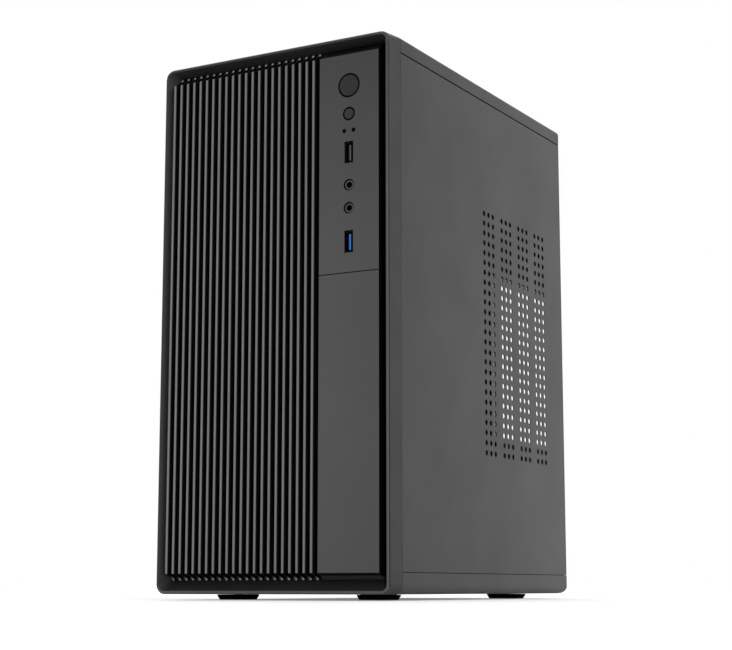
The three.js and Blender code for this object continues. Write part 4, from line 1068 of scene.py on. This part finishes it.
shape = Shape()
upright = rectangle(-SUPPLY_HALF, SUPPLY_HALF, SUPPLY_FLOOR, SUPPLY_TOP)
back_holes = [
    cut_out(INLET_X, SOCKET_Z, INLET_WIDE, SOCKET_TALL),
    cut_out(ROCKER_X, SOCKET_Z, ROCKER_WIDE, SOCKET_TALL),
    *honeycomb(*OUTLET),
]
shape.sheet("Y", SUPPLY_BACK - SHEET / 2, upright, back_holes)
shape.sheet("Y", SUPPLY_FRONT + SHEET / 2, upright, [LEAD_HOLE])
bottom = rectangle(-SUPPLY_HALF, SUPPLY_HALF, SUPPLY_FRONT, SUPPLY_BACK)
fan_hole = circle(0, SUPPLY_MIDDLE, FAN_OPENING, 72)
shape.sheet("Z", SUPPLY_FLOOR + SHEET / 2, bottom, [fan_hole])
build(shape, "supply_case_sheet", galvanised, "chassis", ["supply_case"])

# %% Finger guard
WIRE = 0.8
SECTION_SIDES = 8
RING_Z, SPOKE_Z = 256.1, 256.9
RING_RADII = (11, 22.8, 34.6, 46.8)
SPOKE = [(0.5, -56), (WIRE, -55.6), (WIRE, 55.6), (0.5, 56)]


def wire_ring(shape, centre, radius, sides=48):
    """A ring of round wire, as a short closed tube bent round the centre."""
    rim = []
    section = circle(0, 0, WIRE, SECTION_SIDES)
    for step in range(sides):
        turn = Matrix.Translation(centre) @ Matrix.Rotation(2 * math.pi * step / sides, 4, "Z")
        points = [turn @ Vector((radius + u, 0, w)) for u, w in section]
        rim.append([shape.mesh.verts.new(point) for point in points])
    for step, loop in enumerate(rim):
        beyond = rim[(step + 1) % sides]
        for k in range(SECTION_SIDES):
            n = (k + 1) % SECTION_SIDES
            shape.mesh.faces.new((loop[k], loop[n], beyond[n], beyond[k]))


shape = Shape()
for radius in RING_RADII:
    wire_ring(shape, (0, SUPPLY_MIDDLE, RING_Z), radius)
for angle in (45, -45):
    lie = Matrix.Rotation(math.radians(angle), 4, "Z") @ Matrix.Rotation(math.pi / 2, 4, "Y")
    shape.turned(SPOKE, Matrix.Translation((0, SUPPLY_MIDDLE, SPOKE_Z)) @ lie, 12)
build(shape, "fan_guard_wire", bright_plating, "chassis", ["supply_fan_guard"])

# %% [markdown]
# ## Sockets and their contacts
# The mains inlet has three flat plated blades with tapered tips, and each USB socket has four
# gold strips on its tongue. They are thin bodies laid over the moulded solids, since a
# painted strip would have no edge to catch the light.

# %% Inlet blades
BLADES = ((-6.5, -1.5), (6.5, -1.5), (0, 2.5))
BLADE_RINGS = ((253.9, 1.05, 2.05), (264.3, 1.05, 2.05), (265, 0.6, 1.6))

shape = Shape()
for dx, dz in BLADES:
    x, z = INLET_X + dx, SOCKET_Z + dz
    blade = [
        [(x + u, y, z + w) for u, w in rectangle(-wide, wide, -tall, tall)]
        for y, wide, tall in BLADE_RINGS
    ]
    shape.loft(blade)
build(shape, "inlet_blades", bright_plating, "chassis")

# %% USB contacts
TONGUE_FACE = CONTROL_X - 1.2
CONTACT_STEPS = (-3.75, -1.25, 1.25, 3.75)
CONTACT_X, CONTACT_Y = (TONGUE_FACE - 0.12, TONGUE_FACE + 0.3), (2.6, 11)
CONTACT_HALF = 0.5

for name, height in (("usb2", USB2_Z), ("usb3", USB3_Z)):
    shape = Shape()
    for step in CONTACT_STEPS:
        z = height + step
        shape.box(CONTACT_X, CONTACT_Y, (z - CONTACT_HALF, z + CONTACT_HALF))
    build(shape, name + "_contacts", gold_contact, "chassis")

# %% [markdown]
# ## Signs on the rocker
# The rocker of the mains switch carries the two usual signs, a bar for on and a ring for
# off. The signs ride on the rocker's own body, so they tip with it. Each half of the cap
# slopes up to its end, and the signs are tilted to lie flush on it.

# %% A bar and a ring
ROCKER_REST = math.radians(9)
CAP_SLOPE = math.atan2(1.0, 7.6)
SIGN_OUT, SIGN_UP = 2.1, 3.8
SIGN_REACH, BAR_HALF, RING_HOLE = 1.7, 0.35, 1.05
white_print = plastic("white_print", 220, roughness=0.5)

shape = Shape()
rocker_at = Matrix.Translation((ROCKER_X, SUPPLY_BACK, SOCKET_Z))
tipped = rocker_at @ Matrix.Rotation(ROCKER_REST, 4, "X")


def on_cap(half):
    """Flat on the upper half of the cap, 1, or on its lower half, -1."""
    middle = Matrix.Translation((0, SIGN_OUT, half * SIGN_UP))
    return tipped @ middle @ Matrix.Rotation(-half * CAP_SLOPE, 4, "X") @ UP_REAR


bar = rectangle(-BAR_HALF, BAR_HALF, -SIGN_REACH, SIGN_REACH)
shape.prism("Z", -0.1, 0.06, bar, on_cap(1))
outside, hole = circle(0, 0, SIGN_REACH, 32), circle(0, 0, RING_HOLE, 32)
ring = filled_sheet(outside, [hole], thickness=0.16, edge=0.03)
shape.add(ring, on_cap(-1) @ Matrix.Translation((0, 0, -0.02)))
build(shape, "rocker_signs", white_print, "supply_rocker")

# %% [markdown]
# ## The floor and the background
# The tower stands on a plain pale floor against white. The floor takes the shadow, and to the
# camera it glows a little, so that it meets the white without a line. The world shows plain
# white to the camera and in reflections, and lights the object more softly than that.

# %% Floor
FLOOR_REACH = 9
FLOOR_COLOUR = (0.93, 0.93, 0.93)
BELOW_FEET = 0.0002
CAMERA_GLOW = 0.22

corners = rectangle(-FLOOR_REACH, FLOOR_REACH, -FLOOR_REACH, FLOOR_REACH)
floor_mesh = bpy.data.meshes.new("floor")
floor_mesh.from_pydata([(x, y, 0) for x, y in corners], [], [(0, 1, 2, 3)])
floor = bpy.data.objects.new("floor", floor_mesh)
bpy.context.scene.collection.objects.link(floor)
floor.location.z = -BELOW_FEET
ground = Finish("pale_floor", FLOOR_COLOUR, 0.7, specular=0.2)
ground.paint(ground.cloudy(FLOOR_COLOUR, 0.01, 3))
ground.shader.inputs["Emission Color"].default_value = (1, 1, 1, 1)
seen = ground.add("ShaderNodeLightPath").outputs["Is Camera Ray"]
ground.drive("Emission Strength", ground.math("MULTIPLY", seen, CAMERA_GLOW))
floor_mesh.materials.append(ground.material)
print("floor is", 2 * FLOOR_REACH, "m square")

# %% World
WORLD_LIGHT, WORLD_SEEN = 0.55, 1.0

world = bpy.data.worlds.new("studio")
bpy.context.scene.world = world
world.use_nodes = True
net = world.node_tree
background = net.nodes["Background"]
background.inputs["Color"].default_value = (1, 1, 1, 1)
path = net.nodes.new("ShaderNodeLightPath")
seen = path.outputs["Is Camera Ray"]
for kind in ("Is Glossy Ray", "Is Transmission Ray"):
    widest = net.nodes.new("ShaderNodeMath")
    widest.operation = "MAXIMUM"
    net.links.new(seen, widest.inputs[0])
    net.links.new(path.outputs[kind], widest.inputs[1])
    seen = widest.outputs[0]
level = net.nodes.new("ShaderNodeMapRange")
level.inputs["To Min"].default_value = WORLD_LIGHT
level.inputs["To Max"].default_value = WORLD_SEEN
net.links.new(seen, level.inputs["Value"])
net.links.new(level.outputs["Result"], background.inputs["Strength"])
print("world is white to the camera, and lights with", WORLD_LIGHT)

# %% [markdown]
# ## Lamps
# A studio lights a dark case with large soft boxes: one at the side to lift the long panel,
# one in front for the ribs, and one behind that parts the case from the background. Suns with
# a wide angle stand in for them, because they light every part of the case alike.


# %% Three suns
def soft_sun(name, azimuth, elevation, strength, spread):
    """A wide distant light. Azimuth 0 comes from the front and 90 from the right."""
    data = bpy.data.lights.new(name, "SUN")
    data.energy = strength
    data.angle = math.radians(spread)
    lamp = bpy.data.objects.new(name, data)
    bpy.context.scene.collection.objects.link(lamp)
    a, e = math.radians(azimuth), math.radians(elevation)
    towards = Vector((math.sin(a) * math.cos(e), -math.cos(a) * math.cos(e), math.sin(e)))
    lamp.rotation_euler = towards.to_track_quat("Z", "Y").to_euler()
    print(name, strength)


soft_sun("side_light", azimuth=72, elevation=24, strength=1.35, spread=50)
soft_sun("front_light", azimuth=5, elevation=20, strength=0.55, spread=60)
soft_sun("back_light", azimuth=215, elevation=45, strength=0.9, spread=60)

# %% [markdown]
# ## Colour and the last line
# The standard view transform keeps colours as they are written.

# %% Finish
bpy.context.scene.view_settings.view_transform = "Standard"
